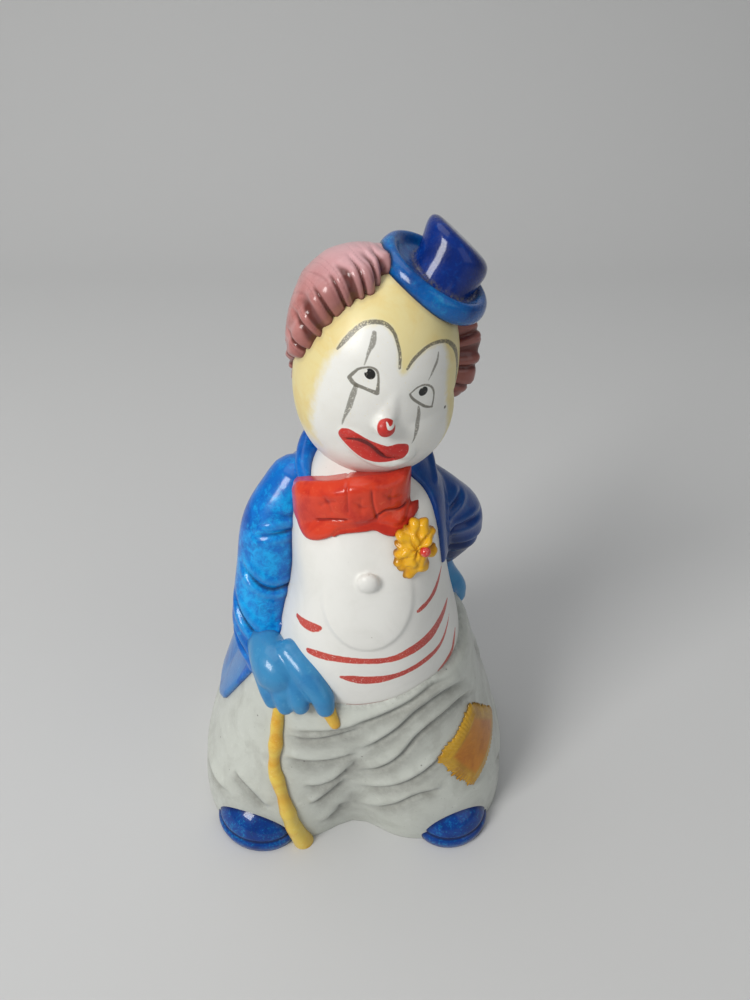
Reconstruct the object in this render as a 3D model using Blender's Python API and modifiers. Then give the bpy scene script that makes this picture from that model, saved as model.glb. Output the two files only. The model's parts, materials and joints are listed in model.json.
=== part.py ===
"""Clown bell: a slip-cast porcelain figurine, hollow and open below, with a clapper hung inside it.

The figure's forms are modelled one by one and fused into a single casting, as they are in the mould.
+Z is up, the clown faces -Y, and the origin is under the middle of the footprint, on the table.
"""

import math

import bmesh
import bpy
import numpy as np
from mathutils import Matrix, Vector
from mathutils.bvhtree import BVHTree

# The figure's height sets its carving: every form below is in shares of it, 150 to the height
HEIGHT = 0.150
U = HEIGHT / 150

# The casting
WALL = 0.0032
VOXEL = 0.0007
CASTING_TRIANGLES = 7600


def clear_scene():
    for old in list(bpy.data.objects):
        bpy.data.objects.remove(old)


def new_collection(name):
    made = bpy.data.collections.new(name)
    bpy.context.scene.collection.children.link(made)
    return made


clear_scene()
PARTS = new_collection("clown_bell")
GUIDES = new_collection("forms_and_cutters")


def add_object(name, mesh, collection):
    made = bpy.data.objects.new(name, mesh)
    collection.objects.link(made)
    return made


def mesh_from(name, build):
    """A mesh that build() fills, with its faces turned outwards."""
    work = bmesh.new()
    build(work)
    bmesh.ops.recalc_face_normals(work, faces=work.faces)
    mesh = bpy.data.meshes.new(name)
    work.to_mesh(mesh)
    work.free()
    return mesh


def ellipsoid(name, centre, radii, turn=Matrix.Identity(3), segments=32):
    """A sphere stretched to three radii, turned about its centre. Centre and radii are in carving units."""
    size = Matrix.Diagonal(Vector(radii) * U).to_4x4()
    place = Matrix.Translation(Vector(centre) * U) @ turn.to_4x4() @ size
    return mesh_from(
        name,
        lambda work: bmesh.ops.create_uvsphere(
            work, u_segments=segments, v_segments=segments // 2, radius=1.0, matrix=place
        ),
    )


def smooth_path(points, count):
    """Points along a Catmull-Rom curve through the given rows of numbers."""
    rows = np.array(points, float)
    padded = np.vstack([2 * rows[0] - rows[1], rows, 2 * rows[-1] - rows[-2]])
    out = []
    for step in np.linspace(0, len(rows) - 1, count):
        k = min(int(step), len(rows) - 2)
        t = step - k
        a, b, c, d = padded[k : k + 4]
        out.append(
            0.5 * (2 * b + (c - a) * t + (2 * a - 5 * b + 4 * c - d) * t**2 + (3 * b - a - 3 * c + d) * t**3)
        )
    return np.array(out)


def skin_rings(work, rings):
    """Walls between rings of equally many points, with a cap at each end."""
    loops = [[work.verts.new(point) for point in ring] for ring in rings]
    for low, high in zip(loops, loops[1:]):
        for i in range(len(low)):
            j = (i + 1) % len(low)
            work.faces.new((low[i], low[j], high[j], high[i]))
    work.faces.new(list(reversed(loops[0])))
    work.faces.new(loops[-1])


def section_point(section, angle):
    """A point of a section: height, centre, half width, depth to the front and back, squareness."""
    z, cx, cy, half, front, back, squareness = section
    c, s = math.cos(angle), math.sin(angle)
    power = 2 / squareness
    depth = back if s > 0 else front
    x = cx + half * math.copysign(abs(c) ** power, c)
    y = cy + depth * math.copysign(abs(s) ** power, s)
    return x, y, z


def loft(name, sections, ring_count=36, sides=64, shape=None):
    """A closed skin through horizontal sections. shape(x, y, z) may move each point."""
    rings = []
    for section in smooth_path(sections, ring_count):
        ring = [section_point(section, 2 * math.pi * k / sides) for k in range(sides)]
        if shape:
            ring = [shape(*point) for point in ring]
        rings.append([Vector(point) * U for point in ring])
    return mesh_from(name, lambda work: skin_rings(work, rings))


def tube(name, rows, sides):
    """A round form along rows of x, y, z and radius, closed by domes."""
    count = len(rows)
    points = [Vector(row[:3]) for row in rows]
    radii = [row[3] for row in rows]
    rings = []
    side = Vector((1, 0, 0))
    for i, point in enumerate(points):
        along = (points[min(i + 1, count - 1)] - points[max(i - 1, 0)]).normalized()
        side = (side - along * side.dot(along)).normalized()
        up = along.cross(side)
        domes = [(0.0, 1.0)]
        if i == 0:
            domes = [(-math.cos(a), math.sin(a)) for a in np.radians((15, 40, 65, 90))]
        if i == count - 1:
            domes = [(math.cos(a), math.sin(a)) for a in np.radians((90, 65, 40, 15))]
        for lift, share in domes:
            centre = point + along * lift * radii[i]
            ring = []
            for k in range(sides):
                turn = 2 * math.pi * k / sides
                out = side * math.cos(turn) + up * math.sin(turn)
                ring.append((centre + out * share * radii[i]) * U)
            rings.append(ring)
    return mesh_from(name, lambda work: skin_rings(work, rings))


def limb(name, stations, count=24, sides=20):
    """A round form along a smooth curve through stations of x, y, z and radius."""
    return tube(name, smooth_path(stations, count), sides)


def slab(name, place, rows, columns):
    """A closed sheet: place(s, t, side) gives its points, with side 0 for the back and 1 for the front."""

    def build(work):
        faces = []
        for side in (0, 1):
            grid = []
            for i in range(rows + 1):
                points = [Vector(place(i / rows, j / columns, side)) * U for j in range(columns + 1)]
                grid.append([work.verts.new(point) for point in points])
            faces.append(grid)
            for i in range(rows):
                for j in range(columns):
                    work.faces.new((grid[i][j], grid[i + 1][j], grid[i + 1][j + 1], grid[i][j + 1]))
        back, front = faces
        rim = [(i, 0) for i in range(rows)] + [(rows, j) for j in range(columns)]
        rim += [(i, columns) for i in range(rows, 0, -1)] + [(0, j) for j in range(columns, 0, -1)]
        for (i, j), (m, n) in zip(rim, rim[1:] + rim[:1]):
            work.faces.new((back[i][j], back[m][n], front[m][n], front[i][j]))

    return mesh_from(name, build)


# The body
# Sections are height, centre x and y, half width, depth to the front, depth to the back, squareness
TROUSERS = [
    (-4, 0, -4, 40.6, 31.0, 29.5, 3.5),
    (0, 0, -4, 41.0, 31.4, 30.0, 3.5),
    (6, 0, -4, 41.2, 31.8, 30.5, 3.4),
    (13, 0, -4, 40.4, 31.8, 31.0, 3.2),
    (22, 0.3, -4, 37.8, 31.2, 30.5, 2.9),
    (32, 1.0, -4.5, 33.8, 29.8, 28.0, 2.6),
    (41, 2.0, -5, 30.3, 28.2, 25.0, 2.4),
    (47.5, 2.5, -5, 27.6, 27.0, 22.5, 2.3),
    (49.5, 2.5, -5, 25.5, 25.5, 20.5, 2.2),
]
TORSO = [
    (38, 2.5, -5, 22.0, 23.0, 18.0, 2.2),
    (47, 2.7, -5, 24.6, 25.8, 20.0, 2.2),
    (54, 3.0, -5, 24.0, 26.6, 19.5, 2.2),
    (64, 3.8, -5, 20.8, 26.0, 18.0, 2.3),
    (74, 4.5, -5, 18.3, 24.5, 16.0, 2.4),
    (84, 4.5, -5, 17.6, 21.3, 14.5, 2.4),
    (92, 4.5, -5, 16.5, 17.0, 12.5, 2.3),
    (97, 4.6, -5, 14.0, 14.0, 11.0, 2.2),
    (103, 4.8, -5, 10.5, 10.5, 9.0, 2.0),
    (112, 5.5, -5, 8.0, 8.0, 8.0, 2.0),
]
COAT = [
    (46, -2.0, 3, 24.5, 8.0, 19.5, 2.4),
    (56, -1.5, 3, 23.0, 9.0, 18.5, 2.4),
    (66, 0.5, 2.5, 22.5, 12.0, 17.0, 2.5),
    (76, 2.0, 1.5, 22.8, 14.0, 15.5, 2.5),
    (85, 2.0, 0.5, 22.5, 13.5, 14.5, 2.4),
    (91, 2.0, 0, 20.0, 12.0, 13.0, 2.3),
    (96, 2.5, 0, 15.5, 10.0, 11.5, 2.2),
    (100, 3.3, 0, 11.5, 9.0, 10.5, 2.0),
    (104, 4.0, 0, 9.0, 8.0, 9.5, 2.0),
]
# The valley between the legs, deepest at the hem, and the waist's rise towards the clown's left
VALLEY_X = 1.0
VALLEY_WIDTH = 9.0
VALLEY_DEPTH = 6.0
VALLEY_TOP = 42.0
WAIST_RISE = 2.6


def part_the_legs(x, y, z):
    """Draws the cloth in between the legs, half as much behind."""
    fade = max(0.0, 1 - max(z, 0) / VALLEY_TOP)
    valley = VALLEY_DEPTH * fade * math.exp(-(((x - VALLEY_X) / VALLEY_WIDTH) ** 2))
    y += valley if y < 0 else -valley * 0.5
    return x, y, z


def drape(x, y, z):
    """Parts the legs and lifts one side of the waist."""
    rise = min(max((z - 38) / 10, 0.0), 1.0) * min(max((x - 2) / 14, 0.0), 1.0)
    x, y, z = part_the_legs(x, y, z)
    return x, y, z + WAIST_RISE * rise


def body_forms():
    return [
        loft("trousers", TROUSERS, shape=drape),
        loft("torso", TORSO),
        loft("coat", COAT),
    ]


# Places on the body are a bearing in degrees round this axis, 0 at the front and + to the clown's left,
# and a height
AXIS = (2.0, -4.5)


def surface(meshes):
    work = bmesh.new()
    for mesh in meshes:
        work.from_mesh(mesh)
    tree = BVHTree.FromBMesh(work)
    work.free()
    return tree


def wrap(skin, bearing, z, lift=0.0):
    """The point of a skin at a bearing and height, lifted off it."""
    turn = math.radians(bearing)
    out = Vector((math.sin(turn), -math.cos(turn), 0))
    start = Vector((AXIS[0], AXIS[1], z)) + out * 100
    hit, normal, _, _ = skin.ray_cast(start * U, -out)
    return hit / U + normal * lift


def front(skin, x, z, lift=0.0):
    """The point of a skin straight ahead of x and z, lifted towards the front."""
    hit, normal, _, _ = skin.ray_cast(Vector((x, -100, z)) * U, Vector((0, 1, 0)))
    return hit / U + (normal + Vector((0, -1, 0))).normalized() * lift


# The head, turned and tilted on a short neck
HEAD_CENTRE = (6.0, -5.0, 121.2)
HEAD_RADII = (16.6, 16.8, 22.2)
HEAD_ROLL = math.radians(15)
HEAD_YAW = math.radians(13)
HEAD_PITCH = math.radians(-4)
HEAD_TURN = Matrix.Rotation(HEAD_ROLL, 3, "Y") @ Matrix.Rotation(HEAD_YAW, 3, "Z")
HEAD_TURN = HEAD_TURN @ Matrix.Rotation(HEAD_PITCH, 3, "X")
JAW_CENTRE = (6.4, -6.0, 114.2)
JAW_RADII = (16.0, 15.2, 15.4)
# The lips: right, up and radius, seen square to the face
UPPER_LIP = [
    (-7.6, -8.6, 1.1), (-5.2, -8.6, 1.5), (-2.0, -9.4, 1.3),
    (1.5, -10.4, 1.3), (5.0, -10.8, 1.5), (6.6, -10.8, 1.3),
]
LOWER_LIP = [
    (-7.4, -9.6, 0.9), (-4.6, -11.6, 1.2), (-1.0, -13.2, 1.4),
    (2.6, -13.6, 1.5), (5.6, -12.4, 1.4), (6.8, -11.2, 1.1),
]
LIP_LIFT = -0.5
NOSE = (-1.1, -4.4)
NOSE_RADII = (2.1, 2.0, 2.0)
NOSE_LIFT = 1.0
BRIDGE = [(-0.6, 1.5, 2.4), (-1.0, -3.4, 3.2)]
BRIDGE_LIFT = -2.2


def on_head(x, y, z):
    """A point given in the head's own directions, from its centre: right, back and up."""
    return Vector(HEAD_CENTRE) + HEAD_TURN @ Vector((x, y, z))


def on_face(skin, x, z, lift=0.0):
    """The point of the head's skin square ahead of x and z on the face, lifted off it."""
    ahead = HEAD_TURN @ Vector((0, -1, 0))
    hit, normal, _, _ = skin.ray_cast((on_head(x, 0, z) + ahead * 60) * U, -ahead)
    return hit / U + normal * lift


def head_forms():
    skull = [
        ellipsoid("head", HEAD_CENTRE, HEAD_RADII, HEAD_TURN, 48),
        ellipsoid("jaw", JAW_CENTRE, JAW_RADII, segments=48),
    ]
    skin = surface(skull)
    lips = []
    for name, line in (("upper_lip", UPPER_LIP), ("lower_lip", LOWER_LIP)):
        lips.append(limb(name, [(*on_face(skin, x, z, LIP_LIFT), radius) for x, z, radius in line], 16, 12))
    nose = ellipsoid("nose", on_face(skin, *NOSE, NOSE_LIFT), NOSE_RADII, HEAD_TURN)
    bridge = limb("bridge", [(*on_face(skin, x, z, BRIDGE_LIFT), radius) for x, z, radius in BRIDGE], 8, 16)
    return skull + lips + [nose, bridge]


# The hair: angle round the head from its top (- to the clown's right), where the hair starts measured from
# the face's middle, and its thickness there
HAIR = [
    (-180, 128, 2.4), (-150, 124, 2.4), (-122, 118, 2.2), (-106, 112, 1.6), (-95, 99, 1.8), (-86, 76, 2.6),
    (-72, 67, 4.0), (-55, 64, 5.6), (-40, 61.5, 5.4), (-27, 60.5, 4.2), (-14, 72, 2.8), (10, 86, 2.6),
    (34, 90, 3.2), (55, 88, 5.2), (72, 84, 6.6), (90, 82, 6.0), (104, 88, 3.6), (116, 102, 2.4),
    (135, 116, 2.4), (160, 124, 2.4), (190, 128, 2.4),
]
HAIR_ROWS = 148
HAIR_COLUMNS = 30
LOCK_SPACING = 8.0
LOCK_DEPTH = 0.55


def hair_at(angle):
    """Where the hair starts and its thickness at an angle round the head."""
    angles, starts, depths = zip(*HAIR)
    return np.interp(angle, angles, starts), np.interp(angle, angles, depths)


def on_hair(angle, open_angle, lift):
    """A point above the skull at an angle round it and an opening angle from the face's middle."""
    turn, opening = math.radians(angle), math.radians(open_angle)
    way = Vector((math.sin(opening) * math.sin(turn), -math.cos(opening), math.sin(opening) * math.cos(turn)))
    radii = [radius + lift for radius in HEAD_RADII]
    return on_head(*(way[i] * radii[i] for i in range(3)))


def hair_form():
    """A thick shell over the skull with a rolled front edge, combed into locks."""

    def place(s, t, side):
        angle = -180 + 370 * s
        start, thickness = hair_at(angle)
        if side == 0:
            return on_hair(angle, start + (176 - start) * t, -1.5)
        roll = min(t / 0.10, 1.0)
        lift = thickness * math.sqrt(1 - (1 - roll) ** 2)
        comb = LOCK_DEPTH * max(0.0, 1 - t / 0.45) * abs(math.cos(math.radians(180 * angle / LOCK_SPACING)))
        return on_hair(angle, start + (176 - start) * t, lift - LOCK_DEPTH * 0.5 + comb)

    return slab("hair", place, HAIR_ROWS, HAIR_COLUMNS)


# The hat: a flared brim and a crown that leans back towards the brim's higher side
HAT_TURN = Matrix.Rotation(math.radians(32), 3, "Y") @ Matrix.Rotation(math.radians(7), 3, "X")
HAT_CENTRE = (17.1, -1.7, 138.4)
CROWN_TURN = Matrix.Rotation(math.radians(42), 3, "Y") @ Matrix.Rotation(math.radians(-6), 3, "X")
CROWN_BASE = Vector((18.9, -1.2, 138.0))
CROWN_LEAN = Vector((0.447, 0.369, 0.815))
CROWN_HEIGHT = 8.95
# Radius and height up the hat's own axis
BRIM_PROFILE = [
    (8.0, -2.6), (11.0, -1.8), (12.1, -0.6), (11.9, 0.6), (11.0, 1.5),
    (10.0, 1.7), (8.9, 1.3), (7.9, 1.1), (5.0, 1.0),
]
# Radius, and the share of the crown's height
CROWN_PROFILE = [(7.7, -0.3), (7.5, 0.1), (7.5, 0.5), (7.7, 0.84), (7.5, 0.93), (6.8, 0.99), (4.0, 1.01)]
HAT_SIDES = 44


def hat_forms():
    def ring(centre, radius, turned):
        turns = [2 * math.pi * k / HAT_SIDES for k in range(HAT_SIDES)]
        return [(centre + turned @ Vector((math.cos(t), math.sin(t), 0)) * radius) * U for t in turns]

    up = HAT_TURN @ Vector((0, 0, 1))
    base = Vector(HAT_CENTRE)
    brim = [ring(base + up * height, radius, HAT_TURN) for radius, height in BRIM_PROFILE]
    crown = []
    for radius, share in CROWN_PROFILE:
        crown.append(ring(CROWN_BASE + CROWN_LEAN * CROWN_HEIGHT * share, radius, CROWN_TURN))
    return [
        mesh_from("brim", lambda work: skin_rings(work, brim)),
        mesh_from("crown", lambda work: skin_rings(work, crown)),
    ]


# The arms: stations are x, y, z and radius
RIGHT_SLEEVE = [
    (-12.0, -2, 90.5, 7.4),
    (-17.2, -5, 82, 7.8),
    (-19.4, -8, 71, 7.6),
    (-20.8, -11, 61, 7.6),
    (-20.8, -14, 54.5, 7.0),
    (-19.6, -17, 50.5, 6.2),
]
LEFT_SLEEVE = [
    (14.0, -2, 90.5, 7.4),
    (21.0, 1, 83.5, 7.4),
    (24.6, 5, 76, 8.2),
    (22.8, 7, 68.5, 7.0),
    (21.5, 9, 62.5, 5.2),
]

COLLAR = [
    (-8.5, -11.5, 96.5, 1.4), (-9.6, -6, 99, 2.0), (-8, 2, 101.5, 2.4), (-2, 7, 103, 2.6), (7, 8, 103.5, 2.6),
    (14, 4, 102.5, 2.4), (17.0, -3, 99.5, 2.0), (18.5, -9, 96.5, 1.5),
]


def arm_forms():
    return [
        limb("right_sleeve", RIGHT_SLEEVE, 28, 24),
        limb("left_sleeve", LEFT_SLEEVE, 24, 24),
        limb("collar", COLLAR, 40, 14),
    ]


# The gloves
RIGHT_PALM = [
    (-21.0, -16.5, 56.5, 4.0),
    (-18.0, -23.5, 56.0, 5.2),
    (-15.6, -26.2, 54.0, 5.6),
    (-14.4, -28.0, 51.6, 4.2),
]
RIGHT_FINGERS = [
    [(-20.2, -23.5, 54.0, 3.0), (-18.6, -27.8, 50.8, 2.5), (-17.8, -29.2, 48.4, 2.1)],
    [(-16.2, -27.0, 54.0, 3.2), (-15.2, -30.2, 50.6, 2.5), (-14.6, -31.2, 48.6, 2.1)],
    [(-12.6, -28.0, 54.5, 3.2), (-11.4, -31.2, 51.0, 2.5), (-11.0, -31.8, 49.4, 2.1)],
    [(-13.6, -24.5, 59.0, 3.4), (-9.4, -28.6, 56.2, 3.4), (-6.2, -31.4, 52.2, 2.8), (-5.4, -32.4, 49.6, 2.3)],
]
LEFT_GLOVE = [(21.5, 9, 62, 3.6), (24.5, 9.5, 55, 3.4), (27.6, 9.5, 50, 3.2), (28.4, 9.5, 46.8, 2.7)]
LEFT_PALM = (24.0, 7.5, 49.5)
LEFT_PALM_RADII = (4.4, 4.4, 5.0)


def glove_forms():
    hands = [
        limb("right_palm", RIGHT_PALM, 20, 20),
        limb("left_glove", LEFT_GLOVE, 20, 16),
        ellipsoid("left_palm", LEFT_PALM, LEFT_PALM_RADII),
    ]
    for i, stations in enumerate(RIGHT_FINGERS):
        hands.append(limb(f"right_finger_{i}", stations, 14, 14))
    return hands


# The cane: a crooked stick held against the trousers, its handle's end showing below the thumb
CANE = [
    (-40.5, 50.0, 1.5), (-38.0, 42.0, 1.5), (-37.0, 35.5, 1.6), (-36.4, 28.5, 1.6), (-34.6, 24.5, 1.7),
    (-32.6, 20.0, 1.7), (-30.4, 13.5, 1.9), (-28.6, 7.0, 2.1), (-26.4, 0.5, 2.6), (-26.0, -3.0, 2.7),
]
CANE_HANDLE = [(-20.0, 50.0, 1.7), (-14.8, 47.6, 1.9), (-12.0, 45.6, 1.7), (-9.6, 43.0, 1.5)]
CANE_LIFT = 0.5


def cane_forms(skin):
    shaft = [(*wrap(skin, bearing, z, CANE_LIFT), radius) for bearing, z, radius in CANE]
    handle = [(*wrap(skin, bearing, z, CANE_LIFT), radius) for bearing, z, radius in CANE_HANDLE]
    return [limb("cane", shaft, 48, 12), limb("cane_handle", handle, 16, 12)]


# The coat tails: bearing, height of the lower edge; the front edges are cut away and there is a vent behind
TAIL_EDGE = [
    (-205, 26), (-182, 24), (-180, 36), (-178, 24), (-150, 22), (-115, 23),
    (-84, 26), (-76, 30), (-69, 39), (-60, 49), (-52, 56),
]
TAIL_TOP = 62.0
TAIL_THICKNESS = 1.7
TAIL_ROOT = 1.2


def tail_form(skin):
    bearings, edges = zip(*TAIL_EDGE)

    def place(s, t, side):
        bearing = bearings[0] + (bearings[-1] - bearings[0]) * s
        low = float(np.interp(bearing, bearings, edges))
        z = low + (TAIL_TOP - low) * t
        axis = Vector((*AXIS, z))
        on_skin = wrap(skin, bearing, z) - axis
        if side == 0:
            return axis + on_skin - on_skin.normalized() * TAIL_ROOT
        rim = min(s, 1 - s, t * 0.5) / 0.03
        hung = wrap(skin, bearing, low).lerp(wrap(skin, bearing, TAIL_TOP), t) - axis
        thickness = TAIL_THICKNESS * min(1.0, 0.4 + 0.6 * rim) * (1 - t**3)
        return axis + on_skin.normalized() * (max(on_skin.length, hung.length) + thickness)

    return slab("coat_tails", place, 84, 24)


# The bow tie: x and z of its lobes' lower and upper edges, from the knot outwards
BOW_LEFT = [
    (0.5, 91.0, 103.8), (-3.4, 87.8, 102.4), (-7.0, 85.9, 101.2),
    (-9.8, 85.1, 99.4), (-11.6, 86.6, 96.5),
]
BOW_MIDDLE = [(0.1, 91.0, 103.9), (2.8, 92.0, 104.4), (5.9, 92.8, 104.4)]
BOW_RIGHT = [(5.5, 92.9, 104.4), (8.8, 91.4, 104.2), (11.3, 90.0, 104.6), (13.5, 90.4, 104.2)]
BOW_TAIL = [
    (-1.5, 89.5, 95.0), (3.8, 90.0, 95.0), (8.1, 88.4, 95.0),
    (10.8, 87.6, 95.5), (13.4, 89.0, 96.5), (15.9, 91.0, 95.0),
]
BOW_THICKNESS = 3.0
BOW_TAIL_THICKNESS = 1.6
BOW_DEPTH = 5.0
BOW_BACK_SHARE = 0.7
CHEST_X = 2.5
CHEST_Y = -19.6
CHEST_CURVE = 0.034


def ribbon(name, edges, thickness):
    """A cushion of ribbon across the chest between its lower and upper edges."""
    stations = smooth_path(edges, 25)

    def place(s, t, side):
        x, low, high = stations[round(s * 24)]
        z = low + (high - low) * t
        chest = CHEST_Y + CHEST_CURVE * (x - CHEST_X) ** 2
        if side == 0:
            middle = (low + high) / 2
            return x, chest + BOW_DEPTH, middle + (z - middle) * BOW_BACK_SHARE
        puff = (1 - abs(2 * t - 1) ** 5) * (1 - abs(2 * s - 1) ** 7)
        return x, chest - thickness * puff, z

    return slab(name, place, 24, 16)


def bow_forms():
    return [
        ribbon("bow_left", BOW_LEFT, BOW_THICKNESS),
        ribbon("bow_middle", BOW_MIDDLE, BOW_THICKNESS),
        ribbon("bow_right", BOW_RIGHT, BOW_THICKNESS),
        ribbon("bow_tail", BOW_TAIL, BOW_TAIL_THICKNESS),
    ]


# The bib, its button, the flower and the patch
BIB_CENTRE = (4.4, 77.5)
BIB_RADII = (10.0, 11.4)
BIB_THICKNESS = 0.55
BUTTON = (4.6, 82.6)
BUTTON_RADII = (2.4, 1.5, 2.4)
BUTTON_LIFT = 0.6
FLOWER = (14.0, 88.6)
FLOWER_RADIUS = 4.9
FLOWER_LIFT = 1.0
BLOOM_RADII = (3.9, 2.2, 4.65)
PETALS = 7
PETAL_RADII = (1.9, 1.7, 2.1)
BEAD = (1.4, -2.2, 0.6)
BEAD_RADII = (1.15, 1.15, 1.15)
LEAF = (-0.6, 0.2, -6.0)
LEAF_RADII = (1.1, 1.0, 1.6)
PATCH = [(57.0, 37.6), (76.0, 25.8), (48.7, 17.2), (36.0, 29.9)]
PATCH_THICKNESS = 1.3
PATCH_ROOT = 1.2


def bib_form(skin):
    def place(s, t, side):
        turn = 2 * math.pi * s * 0.99999
        x = BIB_CENTRE[0] + BIB_RADII[0] * t * math.sin(turn)
        down = math.cos(turn)
        z = BIB_CENTRE[1] - BIB_RADII[1] * t * down * (1.0 if down > 0 else 1.3)
        lift = -1.5 if side == 0 else BIB_THICKNESS * min(1.0, (1 - t) / 0.08)
        return front(skin, x, z, lift)

    return slab("bib", place, 48, 14)


def flower_forms(skin):
    """A ruffled bloom: a ring of petals round a cushion, with a bead in the middle."""
    centre = front(skin, *FLOWER, FLOWER_LIFT)
    ahead = (front(skin, *FLOWER, FLOWER_LIFT + 1) - centre).normalized()
    face = ahead.to_track_quat("-Y", "Z").to_matrix()
    forms = [ellipsoid("bloom", centre, BLOOM_RADII, face)]
    for k in range(PETALS):
        turn = 2 * math.pi * (k + 0.3) / PETALS
        out = Vector((math.sin(turn) * FLOWER_RADIUS * 0.72, -0.5, math.cos(turn) * FLOWER_RADIUS * 0.92))
        forms.append(ellipsoid(f"petal_{k}", centre + face @ out, PETAL_RADII, face, 16))
    forms.append(ellipsoid("bead", centre + face @ Vector(BEAD), BEAD_RADII, segments=16))
    forms.append(ellipsoid("leaf", centre + face @ Vector(LEAF), LEAF_RADII, face, 16))
    return forms


def patch_form(skin):
    """A sewn-on patch with a ragged edge."""
    corners = [Vector((b, z, 0)) for b, z in PATCH]

    def place(s, t, side):
        bearing, z, _ = corners[0].lerp(corners[1], s).lerp(corners[3].lerp(corners[2], s), t)
        rim = min(s, 1 - s, t * 1.5, (1 - t) * 1.5)
        lift = -PATCH_ROOT if side == 0 else PATCH_THICKNESS * min(1.0, 0.35 + rim / 0.2)
        return wrap(skin, bearing, z, lift)

    return slab("patch", place, 20, 28)


def dress_forms(skin):
    button = ellipsoid("button", front(skin, *BUTTON, BUTTON_LIFT), BUTTON_RADII)
    return [bib_form(skin), button, patch_form(skin), *flower_forms(skin)]


# The shoes: name, centre, radii and how far the toes turn out, in degrees
SHOES = [
    ("right_shoe", (-25.0, -29, 1.5), (11.3, 9.0, 9.5), -25),
    ("left_shoe", (26.0, -28.3, 1.5), (10.0, 9.0, 9.5), 25),
]


def shoe_forms():
    forms = []
    for name, centre, radii, turn in SHOES:
        forms.append(ellipsoid(name, centre, radii, Matrix.Rotation(math.radians(turn), 3, "Z")))
    return forms


# Carving. Folds are lines of bearing and height, drawn with the upper cloth on their left; cuts are grooves
FOLDS = [
    [(-34, 39.2), (-22, 40.7), (-9, 42.4), (4, 44.9), (21, 48.5), (36, 51), (52, 50)],
    [(0, 34.4), (9.4, 38.3), (18.7, 42.3), (28.7, 46.5), (43.3, 48), (62, 45)],
    [(-1.4, 25.7), (9.3, 28.2), (18.3, 32.5), (27.2, 38.7), (37.7, 41.7), (52, 42.5), (68, 38)],
    [(1.5, 19), (13.9, 21.5), (26.2, 25.5), (39.4, 30.7)],
    [(4.5, 9.2), (15.7, 14.5), (25.9, 19.2), (36.5, 19.5)],
    [(-32.8, 37.8), (-21.8, 38.3), (-9.4, 40.4), (3.9, 43.7)],
    [(-32.6, 31.3), (-21.6, 31.1), (-11.6, 31.6), (-0.2, 33.6)],
    [(-24.8, 22.5), (-16.9, 22.4), (-8.3, 25.3), (-0.2, 32)],
    [(-22, 15.2), (-15.9, 18.2), (-6.5, 23.3)],
    [(-18.2, 5.6), (-11.2, 10.4), (-4.8, 17.6)],
    [(-52.9, 20.9), (-44.5, 17.8), (-37.5, 13.2)],
    [(-110, 26), (-88, 18), (-66, 14), (-52, 13)],
    [(86, 44), (100, 34), (112, 22), (118, 10)],
    [(64, 14), (82, 12), (98, 16)],
    [(150, 16), (165, 8), (180, 5)],
]
FOLD_LIFT = 0.55
FOLD_DEPTH = 0.75
FOLD_WIDTH = 1.7
# Sleeve creases: bearing and height on the dressed figure
SLEEVE_CUTS = [
    [(-76, 76), (-62, 71), (-52, 67)],
    [(-78, 68), (-64, 62), (-52, 57)],
    [(-82, 61), (-68, 56.5), (-56, 52)],
    [(-72, 89), (-60, 86), (-50, 84)],
    [(-74, 83), (-60, 84.5), (-50, 82)],
    [(75, 84), (88, 87), (100, 89)],
    [(77, 79), (90, 80.5), (106, 80)],
    [(80, 74), (92, 73.5), (108, 72)],
    [(84, 69), (94, 67), (106, 65)],
]
CUT_DEPTH = 0.7
CUT_WIDTH = 1.3


def distance_to_path(points, path):
    """Each point's distance from a path, how far along it the nearest place is, and its offset from there."""
    best = np.full(len(points), np.inf)
    along = np.zeros(len(points))
    offset = np.zeros(points.shape)
    segment = np.zeros(points.shape)
    count = len(path) - 1
    for k in range(count):
        step = path[k + 1] - path[k]
        t = np.clip((points - path[k]) @ step / (step @ step), 0, 1)
        away = points - path[k] - t[:, None] * step
        distance = np.linalg.norm(away, axis=1)
        closer = distance < best
        best[closer] = distance[closer]
        along[closer] = (k + t[closer]) / count
        offset[closer] = away[closer]
        segment[closer] = step
    return best, along, offset, segment


def carve(mesh, skin, dressed):
    """Presses the cloth's folds and creases into the casting."""
    points = np.empty(len(mesh.vertices) * 3)
    mesh.vertices.foreach_get("co", points)
    points = points.reshape(-1, 3) / U
    normals = np.array([vertex.normal for vertex in mesh.vertices])
    height = np.zeros(len(points))
    for fold in FOLDS:
        path = np.array([wrap(skin, *place) for place in smooth_path(fold, 4 * len(fold))])
        distance, along, offset, segment = distance_to_path(points, path)
        upward = np.cross(normals, segment)
        side = distance * np.sign(np.einsum("ij,ij->i", offset, upward))
        fade = np.clip(np.minimum(along, 1 - along) / 0.15, 0, 1)
        over = FOLD_LIFT * np.exp(-(((side - FOLD_WIDTH * 0.7) / FOLD_WIDTH) ** 2))
        under = FOLD_DEPTH * np.exp(-(((side + FOLD_WIDTH * 0.3) / (FOLD_WIDTH * 0.6)) ** 2))
        near = distance < 3 * FOLD_WIDTH
        height += np.where(near, (over - under) * fade, 0)
    for cut in SLEEVE_CUTS:
        path = np.array([wrap(dressed, *place) for place in smooth_path(cut, 10)])
        distance, along, _, _ = distance_to_path(points, path)
        fade = np.clip(np.minimum(along, 1 - along) / 0.3, 0, 1)
        height -= CUT_DEPTH * fade * np.exp(-((distance / CUT_WIDTH) ** 2))
    moved = (points + normals * height[:, None]) * U
    mesh.vertices.foreach_set("co", moved.ravel())
    mesh.update()


def evaluated(host, name):
    """The host's mesh with its modifiers applied."""
    graph = bpy.context.evaluated_depsgraph_get()
    mesh = bpy.data.meshes.new_from_object(host.evaluated_get(graph))
    mesh.name = name
    return mesh


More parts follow.
